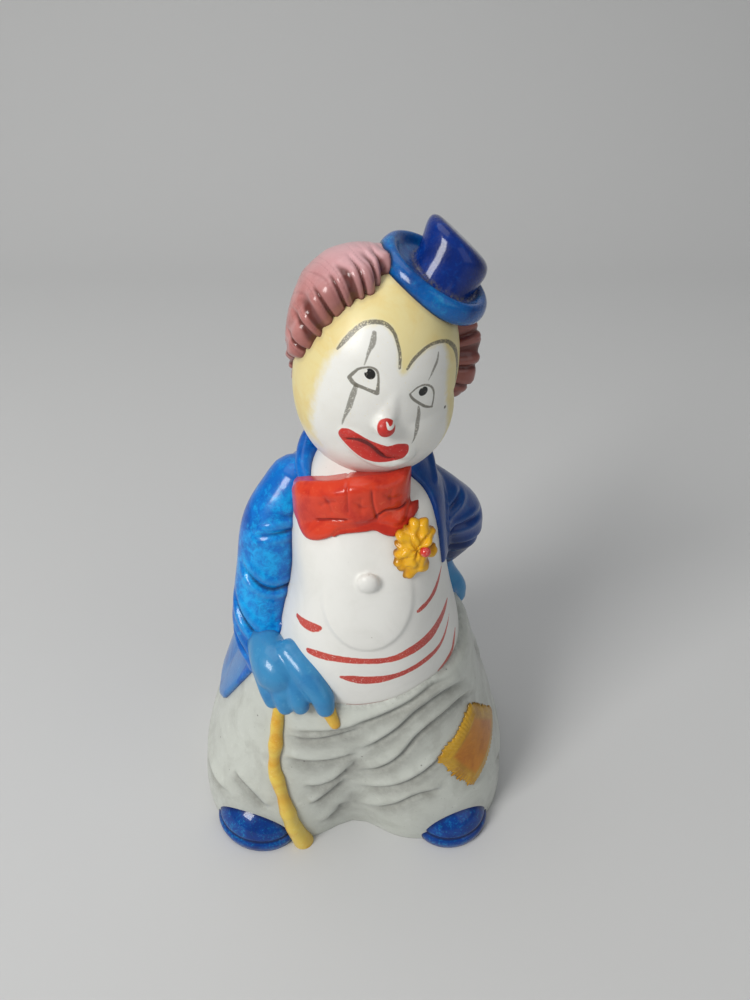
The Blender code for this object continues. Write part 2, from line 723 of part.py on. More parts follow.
def fuse(forms, voxel):
    """Fuses the forms into one skin, softened as the glaze leaves it."""
    work = bmesh.new()
    for form in forms:
        work.from_mesh(form)
    mesh = bpy.data.meshes.new("forms")
    work.to_mesh(mesh)
    work.free()
    host = add_object("forms", mesh, GUIDES)
    remesh = host.modifiers.new("fuse", "REMESH")
    remesh.mode = "VOXEL"
    remesh.voxel_size = voxel
    soften = host.modifiers.new("soften", "SMOOTH")
    soften.factor = 0.5
    soften.iterations = 4
    fused = evaluated(host, "fused")
    bpy.data.objects.remove(host)
    return fused


def outward(mesh):
    """The same mesh with every face turned outwards."""
    work = bmesh.new()
    work.from_mesh(mesh)
    bmesh.ops.recalc_face_normals(work, faces=work.faces)
    work.to_mesh(mesh)
    work.free()
    return mesh


def combine(base, other, operation):
    """The union or difference of two closed meshes."""
    host = add_object("base", base, GUIDES)
    tool = add_object("tool", other, GUIDES)
    boolean = host.modifiers.new("combine", "BOOLEAN")
    boolean.operation = operation
    boolean.solver = "EXACT"
    boolean.object = tool
    made = evaluated(host, base.name)
    bpy.data.objects.remove(host)
    bpy.data.objects.remove(tool)
    return made


def simplify(mesh, triangles):
    """Reduces a mesh to about a number of triangles."""
    host = add_object("dense", mesh, GUIDES)
    reduce = host.modifiers.new("reduce", "DECIMATE")
    reduce.ratio = triangles / sum(len(face.vertices) - 2 for face in mesh.polygons)
    made = evaluated(host, "simplified")
    bpy.data.objects.remove(host)
    return made


def table_block():
    """Everything below the table, to cut the casting flat."""
    block = Matrix.Translation(Vector((0, 0, -20)) * U) @ Matrix.Diagonal(Vector((200, 200, 40)) * U).to_4x4()
    return mesh_from("table", lambda work: bmesh.ops.create_cube(work, size=1.0, matrix=block))


# The hollow: the outside's sections, drawn in by the wall
OUTSIDE = [
    (-8, 0, -4, 41.0, 31.4, 30.0, 3.5),
    (0, 0, -4, 41.0, 31.4, 30.0, 3.5),
    (13, 0, -4, 40.4, 31.8, 31.0, 3.2),
    (22, 0.3, -4, 37.6, 31.0, 30.0, 2.9),
    (32, 1.0, -4.5, 33.4, 29.4, 28.0, 2.6),
    (41, 2.0, -5, 28.8, 27.4, 25.0, 2.4),
    (48, 2.2, -5, 25.0, 26.0, 24.0, 2.3),
    (56, 2.0, -5, 23.0, 26.5, 24.0, 2.3),
    (66, 2.5, -5, 20.5, 26.0, 23.0, 2.3),
    (76, 3.2, -5, 17.6, 23.5, 21.0, 2.3),
    (84, 3.6, -5, 14.0, 18.5, 16.5, 2.2),
    (88.5, 3.8, -5, 6.5, 8.5, 8.0, 2.0),
]

# The eye, through a lug under the hollow's ceiling
EYE_CENTRE = Vector((1.5, -5.0, 80.0)) * U
EYE_RADIUS = 0.0018
LUG_RIM = 0.0020
LUG_WIDTH = 0.0080
LUG_THICKNESS = 0.0032

# The clapper: a wire looped through the eye and wrapped back round itself, with a ball threaded on it.
# Its sizes are real ones, and its places are measured down from the pivot, where the loop hangs in the eye
WIRE_RADIUS = 0.0006
WIRE_SIDES_RESOLUTION = 2
HANGING_GAP = 0.0005
STEM_LENGTH = 0.0573
WRAP_GAP = 0.00016
WRAP_TURNS = 1.5
WIRE_END_RADIUS = 0.0015
WIRE_END_LENGTH = 0.0014
BALL_RADIUS = 0.0060
BALL_GAP = 0.00035
BALL_SEAT = 0.0004
PIVOT = EYE_CENTRE + Vector((0, 0, HANGING_GAP + WIRE_RADIUS - EYE_RADIUS))
LUG_BELOW = PIVOT.z - EYE_CENTRE.z + EYE_RADIUS + LUG_RIM
LOOP_HALF_WIDTH = LUG_THICKNESS / 2 + HANGING_GAP + WIRE_RADIUS
LOOP_HALF_HEIGHT = (LUG_BELOW + HANGING_GAP + WIRE_RADIUS) / 2
STEM_TOP = 2 * LOOP_HALF_HEIGHT + 1.5 * WIRE_RADIUS
WRAP_RADIUS = 2 * WIRE_RADIUS + WRAP_GAP
BALL_BORE = WIRE_RADIUS + BALL_GAP


def hollow_form():
    wall = WALL / U
    inside = []
    for z, cx, cy, half, ahead, behind, squareness in OUTSIDE:
        inside.append((z, cx, cy, half - wall, ahead - wall, behind - wall, squareness))
    top = inside[-1]
    inside[-1] = (top[0] - wall, *top[1:])
    return loft("hollow", inside, 20, 28, shape=part_the_legs)


def plate(name, outline, half_thickness):
    """A plate with an x and z outline round the eye's centre, as thick as asked along y."""
    rings = []
    for y in (-half_thickness, half_thickness):
        rings.append([EYE_CENTRE + Vector((x, y, z)) for x, z in outline])
    return mesh_from(name, lambda work: skin_rings(work, rings))


def lug_form():
    """A tab under the ceiling, rounded below round the pivot, with the eye through it."""
    drop = PIVOT.z - EYE_CENTRE.z
    half = LUG_WIDTH / 2
    top = OUTSIDE[-1][0] * U - EYE_CENTRE.z
    outline = []
    for angle in np.radians(np.linspace(-55, 55, 9)):
        outline.append((LUG_BELOW * math.sin(angle), drop - LUG_BELOW * math.cos(angle)))
    outline += [(half, 0), (half, top), (-half, top), (-half, 0)]
    turns = np.linspace(0, 2 * math.pi, 16, endpoint=False)
    hole = [(EYE_RADIUS * math.sin(turn), EYE_RADIUS * math.cos(turn)) for turn in turns]
    lug = plate("lug", outline, LUG_THICKNESS / 2)
    return combine(lug, plate("eye", hole, LUG_THICKNESS), "DIFFERENCE")


def wire_rows():
    """The wire's path down from the pivot, with its radius: its upset end, stem, loop and wrap."""
    end = -STEM_LENGTH - BALL_RADIUS - BALL_SEAT
    rows = [
        (0, 0, end - 1.3 * WIRE_END_LENGTH, WIRE_RADIUS),
        (0, 0, end - WIRE_END_LENGTH, WIRE_END_RADIUS),
        (0, 0, end - WIRE_END_LENGTH / 2, WIRE_END_RADIUS),
        (0, 0, end, WIRE_RADIUS),
        (0, 0, -STEM_LENGTH, WIRE_RADIUS),
        (0, 0, -STEM_LENGTH / 2, WIRE_RADIUS),
        (0, 0, -STEM_TOP, WIRE_RADIUS),
    ]
    for angle in np.radians(np.arange(-50, 241, 24)):
        c, s = math.cos(angle), math.sin(angle)
        across = LOOP_HALF_WIDTH * math.copysign(abs(c) ** 0.8, c)
        rise = LOOP_HALF_HEIGHT * (math.copysign(abs(s) ** 0.8, s) - 1)
        rows.append((0, across, rise, WIRE_RADIUS))
    for turn in np.linspace(0, WRAP_TURNS, 13):
        angle = 2 * math.pi * turn - math.pi / 2
        low = -STEM_TOP - WRAP_RADIUS * turn
        rows.append((WRAP_RADIUS * math.cos(angle), WRAP_RADIUS * math.sin(angle), low, WIRE_RADIUS))
    return rows


def wire_form():
    curve = bpy.data.curves.new("wire_path", "CURVE")
    curve.dimensions = "3D"
    curve.bevel_depth = WIRE_RADIUS
    curve.bevel_resolution = WIRE_SIDES_RESOLUTION
    curve.use_fill_caps = True
    rows = wire_rows()
    spline = curve.splines.new("POLY")
    spline.points.add(len(rows) - 1)
    for point, (x, y, z, radius) in zip(spline.points, rows):
        point.co = (x, y, z, 1)
        point.radius = radius / WIRE_RADIUS
    path = add_object("wire_path", curve, GUIDES)
    made = evaluated(path, "clapper_wire")
    bpy.data.objects.remove(path)
    return made


def ball_form():
    """The ball, turned round its bore."""
    start = math.asin(BALL_BORE / BALL_RADIUS)
    work = bmesh.new()
    corners = []
    for angle in np.linspace(start, math.pi - start, 15):
        rise = BALL_RADIUS * math.cos(angle) - STEM_LENGTH
        corners.append(work.verts.new((BALL_RADIUS * math.sin(angle), 0, rise)))
    for low, high in zip(corners, corners[1:] + corners[:1]):
        work.edges.new((low, high))
    profile = bpy.data.meshes.new("ball_profile")
    work.to_mesh(profile)
    work.free()
    host = add_object("ball_profile", profile, GUIDES)
    turned = host.modifiers.new("turn", "SCREW")
    turned.steps = 24
    turned.render_steps = 24
    turned.use_merge_vertices = True
    turned.merge_threshold = WRAP_GAP / 4
    made = evaluated(host, "clapper_ball")
    bpy.data.objects.remove(host)
    return outward(made)


def glaze(name, colour, roughness, metallic=0.0):
    material = bpy.data.materials.new(name)
    material.use_nodes = True
    shader = material.node_tree.nodes["Principled BSDF"]
    shader.inputs["Base Color"].default_value = (*colour, 1)
    shader.inputs["Roughness"].default_value = roughness
    shader.inputs["Metallic"].default_value = metallic
    return material


def add_piece(name, mesh, material):
    mesh.name = name
    mesh.materials.clear()
    mesh.materials.append(material)
    return add_object(name, mesh, PARTS)


def casting_form():
    body = body_forms()
    skin = surface(body)
    forms = body + head_forms() + [hair_form()] + hat_forms() + arm_forms() + glove_forms()
    forms += cane_forms(skin) + [tail_form(skin)] + bow_forms() + dress_forms(skin) + shoe_forms()
    fused = fuse(forms, VOXEL)
    carve(fused, skin, surface(body + arm_forms()))
    solid = combine(simplify(fused, CASTING_TRIANGLES), table_block(), "DIFFERENCE")
    hollow = combine(hollow_form(), lug_form(), "DIFFERENCE")
    return combine(solid, hollow, "DIFFERENCE")


def build():
    casting = casting_form()
    corners = np.array([vertex.co for vertex in casting.vertices])
    middle = (corners.min(axis=0) + corners.max(axis=0)) / 2
    shift = Matrix.Translation((-middle[0], -middle[1], 0))
    casting.transform(shift)
    add_piece("clown_bell", casting, glaze("glazed_porcelain", (0.86, 0.86, 0.83), 0.15))
    pivot = add_object("clapper_pivot", None, PARTS)
    pivot.location = shift @ PIVOT
    wire = add_piece("clapper_wire", wire_form(), glaze("steel_wire", (0.55, 0.54, 0.52), 0.35, 1.0))
    ball = add_piece("clapper_ball", ball_form(), glaze("bisque_ball", (0.82, 0.79, 0.72), 0.7))
    wire.parent = pivot
    ball.parent = pivot
    return shift


ORIGIN_SHIFT = build()
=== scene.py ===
"""Clown bell: a slip-cast, hand-painted porcelain figurine of a sad clown, hollow below with a clapper in it.

The forms are carved in millimetres, in the figure's own directions, and each piece is set into the frame
in metres when it is finished: +Z is up, the clown faces -Y and stands on the table at Z = 0.
"""

import json
import math

import bmesh
import bpy
import numpy as np
from mathutils import Matrix, Vector
from mathutils.bvhtree import BVHTree


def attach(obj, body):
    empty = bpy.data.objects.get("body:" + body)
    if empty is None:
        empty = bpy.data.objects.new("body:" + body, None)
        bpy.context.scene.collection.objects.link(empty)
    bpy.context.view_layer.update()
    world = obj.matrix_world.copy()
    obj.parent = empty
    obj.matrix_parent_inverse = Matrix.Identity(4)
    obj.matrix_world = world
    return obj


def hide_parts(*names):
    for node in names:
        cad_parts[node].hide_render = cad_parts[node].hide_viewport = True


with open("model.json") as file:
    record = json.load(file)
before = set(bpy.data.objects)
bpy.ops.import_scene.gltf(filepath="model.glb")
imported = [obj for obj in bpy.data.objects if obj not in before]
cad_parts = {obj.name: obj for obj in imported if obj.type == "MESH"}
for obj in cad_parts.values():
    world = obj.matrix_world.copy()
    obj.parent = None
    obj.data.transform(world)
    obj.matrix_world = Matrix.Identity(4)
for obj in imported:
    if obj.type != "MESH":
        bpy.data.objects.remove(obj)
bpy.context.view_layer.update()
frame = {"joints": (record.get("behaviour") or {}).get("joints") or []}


# The trousers
# Baggy grey-white trousers down to the table, the widest part of the casting and the bell's open mouth.
# They are slip-cast clay with the folds in the mould, painted thin and washed with grey in every fold, with
# painted shade in the folds and where the shirt and coat meet them.
MM = 0.001
PIVOT = Vector((1.5, -5.0, 79.3))
PLACE = Vector(frame["joints"][0]["pos_m"]) - PIVOT * MM

# Sections are height, centre x and y, half width, depth to the front, depth to the back, squareness
TROUSERS = [
    (-4, 0, -4, 40.6, 31.0, 29.5, 3.5),
    (0, 0, -4, 41.0, 31.4, 30.0, 3.5),
    (6, 0, -4, 41.2, 31.8, 30.5, 3.4),
    (13, 0, -4, 40.4, 31.8, 31.0, 3.2),
    (22, 0.3, -4, 37.8, 31.2, 30.5, 2.9),
    (32, 1.0, -4.5, 33.8, 29.8, 28.0, 2.6),
    (41, 2.0, -5, 30.3, 28.2, 25.0, 2.4),
    (47.5, 2.5, -5, 27.6, 27.0, 22.5, 2.3),
    (49.5, 2.5, -5, 25.5, 25.5, 20.5, 2.2),
]
VALLEY_X = 1.0
VALLEY_WIDTH = 9.0
VALLEY_DEPTH = 6.0
VALLEY_TOP = 42.0
WAIST_RISE = 2.6
# Folds are lines of bearing in degrees and height, drawn with the upper cloth on their left
FOLDS = [
    [(-34, 39.2), (-22, 40.7), (-9, 42.4), (4, 44.9), (21, 48.5), (36, 51), (52, 50)],
    [(0, 34.4), (9.4, 38.3), (18.7, 42.3), (28.7, 46.5), (43.3, 48), (62, 45)],
    [(-1.4, 25.7), (9.3, 28.2), (18.3, 32.5), (27.2, 38.7), (37.7, 41.7), (52, 42.5), (68, 38)],
    [(1.5, 19), (13.9, 21.5), (26.2, 25.5), (39.4, 30.7)],
    [(4.5, 9.2), (15.7, 14.5), (25.9, 19.2), (36.5, 19.5)],
    [(-32.8, 37.8), (-21.8, 38.3), (-9.4, 40.4), (3.9, 43.7)],
    [(-32.6, 31.3), (-21.6, 31.1), (-11.6, 31.6), (-0.2, 33.6)],
    [(-24.8, 22.5), (-16.9, 22.4), (-8.3, 25.3), (-0.2, 32)],
    [(-22, 15.2), (-15.9, 18.2), (-6.5, 23.3)],
    [(-18.2, 5.6), (-11.2, 10.4), (-4.8, 17.6)],
    [(-52.9, 20.9), (-44.5, 17.8), (-37.5, 13.2)],
    [(-110, 26), (-88, 18), (-66, 14), (-52, 13)],
    [(86, 44), (100, 34), (112, 22), (118, 10)],
    [(64, 14), (82, 12), (98, 16)],
    [(150, 16), (165, 8), (180, 5)],
]
FOLD_LIFT = 0.65
FOLD_DEPTH = 0.95
FOLD_WIDTH = 1.7
# The grey wash and painted shade lie in a fold and spread down from it
WASH_SPREAD = 3.0
AXIS = Vector((2.0, -4.5, 0))


def closed_mesh(name, points, faces):
    """A mesh with its doubles merged and its faces turned outwards."""
    mesh = bpy.data.meshes.new(name)
    mesh.from_pydata([tuple(point) for point in points], [], faces)
    work = bmesh.new()
    work.from_mesh(mesh)
    bmesh.ops.remove_doubles(work, verts=work.verts, dist=1e-5)
    bmesh.ops.recalc_face_normals(work, faces=work.faces)
    work.to_mesh(mesh)
    work.free()
    return mesh


def skin(name, rings):
    """Walls between rings of equally many points, with a cap at each end."""
    count, sides = rings.shape[:2]
    faces = [tuple(range(sides)), tuple(range((count - 1) * sides, count * sides))]
    for i in range(count - 1):
        for j in range(sides):
            k = (j + 1) % sides
            faces.append((i * sides + j, i * sides + k, (i + 1) * sides + k, (i + 1) * sides + j))
    return closed_mesh(name, rings.reshape(-1, 3), faces)


def smooth_path(points, count):
    """Points along a Catmull-Rom curve through the given rows of numbers."""
    rows = np.array(points, float)
    padded = np.vstack([2 * rows[0] - rows[1], rows, 2 * rows[-1] - rows[-2]])
    step = np.linspace(0, len(rows) - 1, count)
    k = np.minimum(step.astype(int), len(rows) - 2)
    t = (step - k)[:, None]
    a, b, c, d = padded[k], padded[k + 1], padded[k + 2], padded[k + 3]
    return 0.5 * (2 * b + (c - a) * t + (2 * a - 5 * b + 4 * c - d) * t**2 + (3 * b - a - 3 * c + d) * t**3)


def loft(name, sections, ring_count, sides, shape=None):
    """A closed skin through horizontal sections. shape(x, y, z) may move the points."""
    rows = smooth_path(sections, ring_count)[:, :, None]
    z, cx, cy, half, ahead, behind, squareness = (rows[:, i] for i in range(7))
    turns = np.linspace(0, 2 * math.pi, sides, endpoint=False)[None]
    c, s = np.cos(turns), np.sin(turns)
    x = cx + half * np.sign(c) * np.abs(c) ** (2 / squareness)
    y = cy + np.where(s > 0, behind, ahead) * np.sign(s) * np.abs(s) ** (2 / squareness)
    z = z + 0 * x
    if shape:
        x, y, z = shape(x, y, z)
    return skin(name, np.stack([x, y, z], axis=-1))


def part_the_legs(x, y, z):
    """Draws the cloth in between the legs, half as much behind."""
    fade = np.maximum(0.0, 1 - np.maximum(z, 0) / VALLEY_TOP)
    valley = VALLEY_DEPTH * fade * np.exp(-(((x - VALLEY_X) / VALLEY_WIDTH) ** 2))
    return x, np.where(y < 0, y + valley, y - valley * 0.5), z


def drape(x, y, z):
    """Parts the legs and lifts one side of the waist."""
    rise = np.clip((z - 38) / 10, 0, 1) * np.clip((x - 2) / 14, 0, 1)
    x, y, z = part_the_legs(x, y, z)
    return x, y, z + WAIST_RISE * rise


def surface(*meshes):
    """The skins of meshes, to measure from."""
    work = bmesh.new()
    for mesh in meshes:
        work.from_mesh(mesh)
    tree = BVHTree.FromBMesh(work)
    work.free()
    return tree


def wrap(tree, bearing, z, lift=0.0):
    """The point of a skin at a bearing round the body's axis and a height, lifted off it."""
    turn = math.radians(bearing)
    out = Vector((math.sin(turn), -math.cos(turn), 0))
    hit, normal, _, _ = tree.ray_cast(AXIS + Vector((0, 0, z)) + out * 100, -out)
    return hit + normal * lift


def corners_of(mesh):
    points = np.empty(len(mesh.vertices) * 3)
    mesh.vertices.foreach_get("co", points)
    return points.reshape(-1, 3)


def normals_of(mesh):
    normals = np.empty(len(mesh.vertices) * 3)
    mesh.vertex_normals.foreach_get("vector", normals)
    return normals.reshape(-1, 3)


def raise_by(mesh, heights):
    """Moves each point along its normal."""
    moved = corners_of(mesh) + normals_of(mesh) * heights[:, None]
    mesh.vertices.foreach_set("co", moved.ravel())
    mesh.update()


def along_path(points, path):
    """Each point's distance from a path, how far along it that is, its offset, and the path's direction."""
    best = np.full(len(points), np.inf)
    along = np.zeros(len(points))
    offset = np.zeros(points.shape)
    heading = np.zeros(points.shape)
    count = len(path) - 1
    for k in range(count):
        step = path[k + 1] - path[k]
        t = np.clip((points - path[k]) @ step / (step @ step), 0, 1)
        away = points - path[k] - t[:, None] * step
        distance = np.linalg.norm(away, axis=1)
        closer = distance < best
        best[closer] = distance[closer]
        along[closer] = (k + t[closer]) / count
        offset[closer] = away[closer]
        heading[closer] = step
    return best, along, offset, heading


def mark(mesh, name, values):
    """Keeps a number for each point, for the paint to read."""
    layer = mesh.attributes.new(name, "FLOAT", "POINT")
    layer.data.foreach_set("value", np.asarray(values, dtype=np.float32))


def reach(mesh, *trees):
    """How far each point is from the nearest of some skins, up to 12 mm."""
    distances = np.full(len(mesh.vertices), 12.0)
    for tree in trees:
        for i, vertex in enumerate(mesh.vertices):
            hit = tree.find_nearest(vertex.co, 12.0)
            if hit[0] is not None and hit[3] < distances[i]:
                distances[i] = hit[3]
    return distances


def evaluated(name, mesh, kind, **settings):
    """A mesh after one modifier."""
    host = bpy.data.objects.new(name, mesh)
    bpy.context.scene.collection.objects.link(host)
    modifier = host.modifiers.new(kind.lower(), kind)
    for key, value in settings.items():
        setattr(modifier, key, value)
    made = bpy.data.meshes.new_from_object(host.evaluated_get(bpy.context.evaluated_depsgraph_get()))
    made.name = name
    bpy.data.objects.remove(host)
    return made


def cut_away(mesh, tool):
    """What is left of a closed mesh outside another."""
    host = bpy.data.objects.new("tool", tool)
    bpy.context.scene.collection.objects.link(host)
    made = evaluated(mesh.name, mesh, "BOOLEAN", operation="DIFFERENCE", solver="EXACT", object=host)
    bpy.data.objects.remove(host)
    return made


# What the hollow and the table take away
WALL = 3.2
OUTSIDE = [
    (-8, 0, -4, 41.0, 31.4, 30.0, 3.5),
    (0, 0, -4, 41.0, 31.4, 30.0, 3.5),
    (13, 0, -4, 40.4, 31.8, 31.0, 3.2),
    (22, 0.3, -4, 37.6, 31.0, 30.0, 2.9),
    (32, 1.0, -4.5, 33.4, 29.4, 28.0, 2.6),
    (41, 2.0, -5, 28.8, 27.4, 25.0, 2.4),
    (48, 2.2, -5, 25.0, 26.0, 24.0, 2.3),
    (56, 2.0, -5, 23.0, 26.5, 24.0, 2.3),
    (66, 2.5, -5, 20.5, 26.0, 23.0, 2.3),
    (76, 3.2, -5, 17.6, 23.5, 21.0, 2.3),
    (84, 3.6, -5, 14.0, 18.5, 16.5, 2.2),
    (88.5, 3.8, -5, 6.5, 8.5, 8.0, 2.0),
]
inside = []
for z, cx, cy, half, ahead, behind, squareness in OUTSIDE:
    inside.append((z, cx, cy, half - WALL, ahead - WALL, behind - WALL, squareness))
inside[-1] = (inside[-1][0] - WALL, *inside[-1][1:])
hollow = loft("hollow", inside, 60, 96, shape=part_the_legs)
table = bmesh.new()
bmesh.ops.create_cube(
    table, size=1.0, matrix=Matrix.Translation((0, 0, -20)) @ Matrix.Diagonal((200, 200, 40, 1))
)
table_block = bpy.data.meshes.new("table_block")
table.to_mesh(table_block)
table.free()

TORSO = [
    (38, 2.5, -5, 22.0, 23.0, 18.0, 2.2),
    (47, 2.7, -5, 24.6, 25.8, 20.0, 2.2),
    (54, 3.0, -5, 24.0, 26.6, 19.5, 2.2),
    (64, 3.8, -5, 20.8, 26.0, 18.0, 2.3),
    (74, 4.5, -5, 18.3, 24.5, 16.0, 2.4),
    (84, 4.5, -5, 17.6, 21.3, 14.5, 2.4),
    (92, 4.5, -5, 16.5, 17.0, 12.5, 2.3),
    (97, 4.6, -5, 14.0, 14.0, 11.0, 2.2),
    (103, 4.8, -5, 10.5, 10.5, 9.0, 2.0),
    (112, 5.5, -5, 8.0, 8.0, 8.0, 2.0),
]
COAT = [
    (46, -2.0, 3, 24.5, 8.0, 19.5, 2.4),
    (56, -1.5, 3, 23.0, 9.0, 18.5, 2.4),
    (66, 0.5, 2.5, 22.5, 12.0, 17.0, 2.5),
    (76, 2.0, 1.5, 22.8, 14.0, 15.5, 2.5),
    (85, 2.0, 0.5, 22.5, 13.5, 14.5, 2.4),
    (91, 2.0, 0, 20.0, 12.0, 13.0, 2.3),
    (96, 2.5, 0, 15.5, 10.0, 11.5, 2.2),
    (100, 3.3, 0, 11.5, 9.0, 10.5, 2.0),
    (104, 4.0, 0, 9.0, 8.0, 9.5, 2.0),
]
trousers = loft("trousers", TROUSERS, 130, 420, shape=drape)
torso = loft("torso", TORSO, 120, 260)
coat_body = loft("coat_body", COAT, 60, 120)
body = surface(trousers, torso, coat_body)


def press_folds(mesh, folds, tree):
    """Presses folds into cloth. Returns the height given and the grey wash with painted shade that settles in
    them, 0 to 1.
    """
    points, normals = corners_of(mesh), normals_of(mesh)
    height = np.zeros(len(points))
    wash_and_shade = np.zeros(len(points))
    for fold in folds:
        path = np.array([wrap(tree, *place) for place in smooth_path(fold, 6 * len(fold))])
        distance, along, offset, heading = along_path(points, path)
        side = distance * np.sign(np.einsum("ij,ij->i", offset, np.cross(normals, heading)))
        fade = np.clip(np.minimum(along, 1 - along) / 0.15, 0, 1)
        over = FOLD_LIFT * np.exp(-(((side - FOLD_WIDTH * 0.7) / FOLD_WIDTH) ** 2))
        under = FOLD_DEPTH * np.exp(-(((side + FOLD_WIDTH * 0.2) / (FOLD_WIDTH * 0.45)) ** 2))
        near = distance < 4 * FOLD_WIDTH
        height += np.where(near, (over - under) * fade, 0)
        spread = np.where(side < 0, WASH_SPREAD, FOLD_WIDTH * 0.5)
        wash_and_shade = np.maximum(wash_and_shade, np.where(near, fade * np.exp(-((side + 0.4) / spread) ** 2), 0))
    raise_by(mesh, height)
    return height, wash_and_shade


fold_height, fold_wash_and_shade = press_folds(trousers, FOLDS, surface(trousers))
mark(trousers, "fold_height", fold_height)
mark(trousers, "wash_and_shade", fold_wash_and_shade)


def socket(tree, kind, name, inwards, default=None):
    made = tree.interface.new_socket(name, in_out="INPUT" if inwards else "OUTPUT", socket_type=kind)
    if default is not None:
        made.default_value = default
    return made


def node(tree, kind, values=None, **settings):
    """A shader node with its settings, and its inputs set or linked."""
    made = tree.nodes.new("ShaderNode" + kind)
    for key, value in settings.items():
        setattr(made, key, value)
    for key, value in (values or {}).items():
        if isinstance(value, bpy.types.NodeSocket):
            tree.links.new(value, made.inputs[key])
        else:
            made.inputs[key].default_value = value
    return made


def sum_up(tree, operation, *values):
    """A Math node's result."""
    return node(tree, "Math", dict(enumerate(values)), operation=operation).outputs[0]


def over(tree, below, above, mask):
    """One colour painted over another where the mask is 1."""
    mixed = node(tree, "Mix", data_type="RGBA")
    for index, value in ((0, mask), (6, below), (7, above)):
        if isinstance(value, bpy.types.NodeSocket):
            tree.links.new(value, mixed.inputs[index])
        elif index == 0:
            mixed.inputs[index].default_value = value
        else:
            mixed.inputs[index].default_value = (*value, 1)
    return mixed.outputs[2]


def steps(tree, value, low, high, start=0.0, end=1.0):
    """A smooth change from one value to another as the input goes from low to high."""
    values = {"Value": value, "From Min": low, "From Max": high, "To Min": start, "To Max": end}
    return node(tree, "MapRange", values, interpolation_type="SMOOTHSTEP").outputs[0]


def read(tree, name):
    """A number kept on the mesh's points."""
    return node(tree, "Attribute", attribute_name=name).outputs["Fac"]


def group(name, inputs, outputs):
    """An empty node group with named inputs and outputs, and its coordinates in millimetres."""
    tree = bpy.data.node_groups.new(name, "ShaderNodeTree")
    for kind, label, default in inputs:
        socket(tree, "NodeSocket" + kind, label, True, default)
    for kind, label in outputs:
        socket(tree, "NodeSocket" + kind, label, False)
    entry = tree.nodes.new("NodeGroupInput")
    leave = tree.nodes.new("NodeGroupOutput")
    where = node(tree, "TexCoord").outputs["Object"]
    metres = node(tree, "VectorMath", {0: where, 3: 1 / MM}, operation="SCALE").outputs[0]
    return tree, entry, leave, metres


def placed(tree, made, **values):
    """A node group placed in a material with its own values, named with _ for a space."""
    used = node(tree, "Group", node_tree=made)
    for key, value in values.items():
        name = key.replace("_", " ")
        if isinstance(value, bpy.types.NodeSocket):
            tree.links.new(value, used.inputs[name])
        else:
            used.inputs[name].default_value = (*value, 1) if isinstance(value, tuple) else value
    return used


# Thin colour dabbed on with a brush and sponge: it pools dark in places and shows lighter where it is thin
dabbed, entry, leave, where = group(
    "dabbed colour",
    [("Color", "Colour", None), ("Color", "Darker", None), ("Color", "Lighter", None), (
        "Float", "Grain", 0.5,
    ),
     ("Float", "Lightness", 0.0), ("Float", "Seed", 0.0)],
    [("Color", "Color")],
)
spot = node(dabbed, "CombineXYZ", {2: entry.outputs["Seed"]}).outputs[0]
spot = node(dabbed, "VectorMath", {0: where, 1: spot}, operation="ADD").outputs[0]
pools = node(
    dabbed, "TexNoise", {"Vector": spot, "Scale": 0.11, "Detail": 4.0, "Roughness": 0.6, "Distortion": 0.8},
)
dabs = node(
    dabbed, "TexNoise",
    {"Vector": spot, "Scale": entry.outputs["Grain"], "Detail": 5.0, "Roughness": 0.75, "Distortion": 0.4},
)
shade = steps(dabbed, pools.outputs[0], 0.42, 0.66, 0.0, 0.75)
shade = sum_up(dabbed, "MULTIPLY", shade, steps(dabbed, dabs.outputs[0], 0.35, 0.6, 0.45, 1.0))
thin = sum_up(dabbed, "ADD", dabs.outputs[0], entry.outputs["Lightness"])
thin = sum_up(dabbed, "ADD", thin, sum_up(dabbed, "MULTIPLY", pools.outputs[0], -0.35))
light = steps(dabbed, thin, 0.36, 0.72, 0.0, 0.9)
colour = over(dabbed, entry.outputs["Colour"], entry.outputs["Darker"], shade)
colour = over(dabbed, colour, entry.outputs["Lighter"], light)
dabbed.links.new(colour, leave.inputs["Color"])

# Dark specks: grit and pinholes in the glaze
specks, entry, leave, where = group(
    "specks",
    [("Float", "Scale", 0.6), ("Float", "Size", 0.2), ("Float", "Share", 0.3)],
    [("Float", "Mask")],
)
cells = node(specks, "TexVoronoi", {"Vector": where, "Scale": entry.outputs["Scale"], "Randomness": 1.0})
pick = node(specks, "SeparateColor", {0: cells.outputs["Color"]}).outputs[0]
chosen = sum_up(specks, "LESS_THAN", pick, entry.outputs["Share"])
rim = sum_up(specks, "MULTIPLY", entry.outputs["Size"], 0.5)
dot = steps(specks, cells.outputs["Distance"], rim, entry.outputs["Size"], 1.0, 0.0)
specks.links.new(sum_up(specks, "MULTIPLY", chosen, dot), leave.inputs["Mask"])

# The edge of a brush mark: how deep inside it a point is, in millimetres, wavers as a hand does
brushed, entry, leave, where = group(
    "brush edge",
    [
        ("Float", "Depth", 0.0), ("Float", "Softness", 0.06), ("Float", "Waver", 0.12),
        ("Float", "Dryness", 0.0),
    ],
    [("Float", "Mask")],
)
hand = node(brushed, "TexNoise", {"Vector": where, "Scale": 0.7, "Detail": 3.0, "Roughness": 0.6}).outputs[0]
waver = sum_up(brushed, "MULTIPLY", sum_up(brushed, "SUBTRACT", hand, 0.5), entry.outputs["Waver"])
depth = sum_up(brushed, "ADD", entry.outputs["Depth"], waver)
minus = sum_up(brushed, "MULTIPLY", entry.outputs["Softness"], -1.0)
mask = steps(brushed, depth, minus, entry.outputs["Softness"])
bristle = node(brushed, "TexNoise", {"Vector": where, "Scale": 3.2, "Detail": 2.0, "Roughness": 0.7}).outputs[
    0
]
gaps = steps(brushed, sum_up(brushed, "ADD", bristle, entry.outputs["Dryness"]), 0.62, 0.86)
mask = sum_up(brushed, "MULTIPLY", mask, sum_up(brushed, "SUBTRACT", 1.0, gaps))
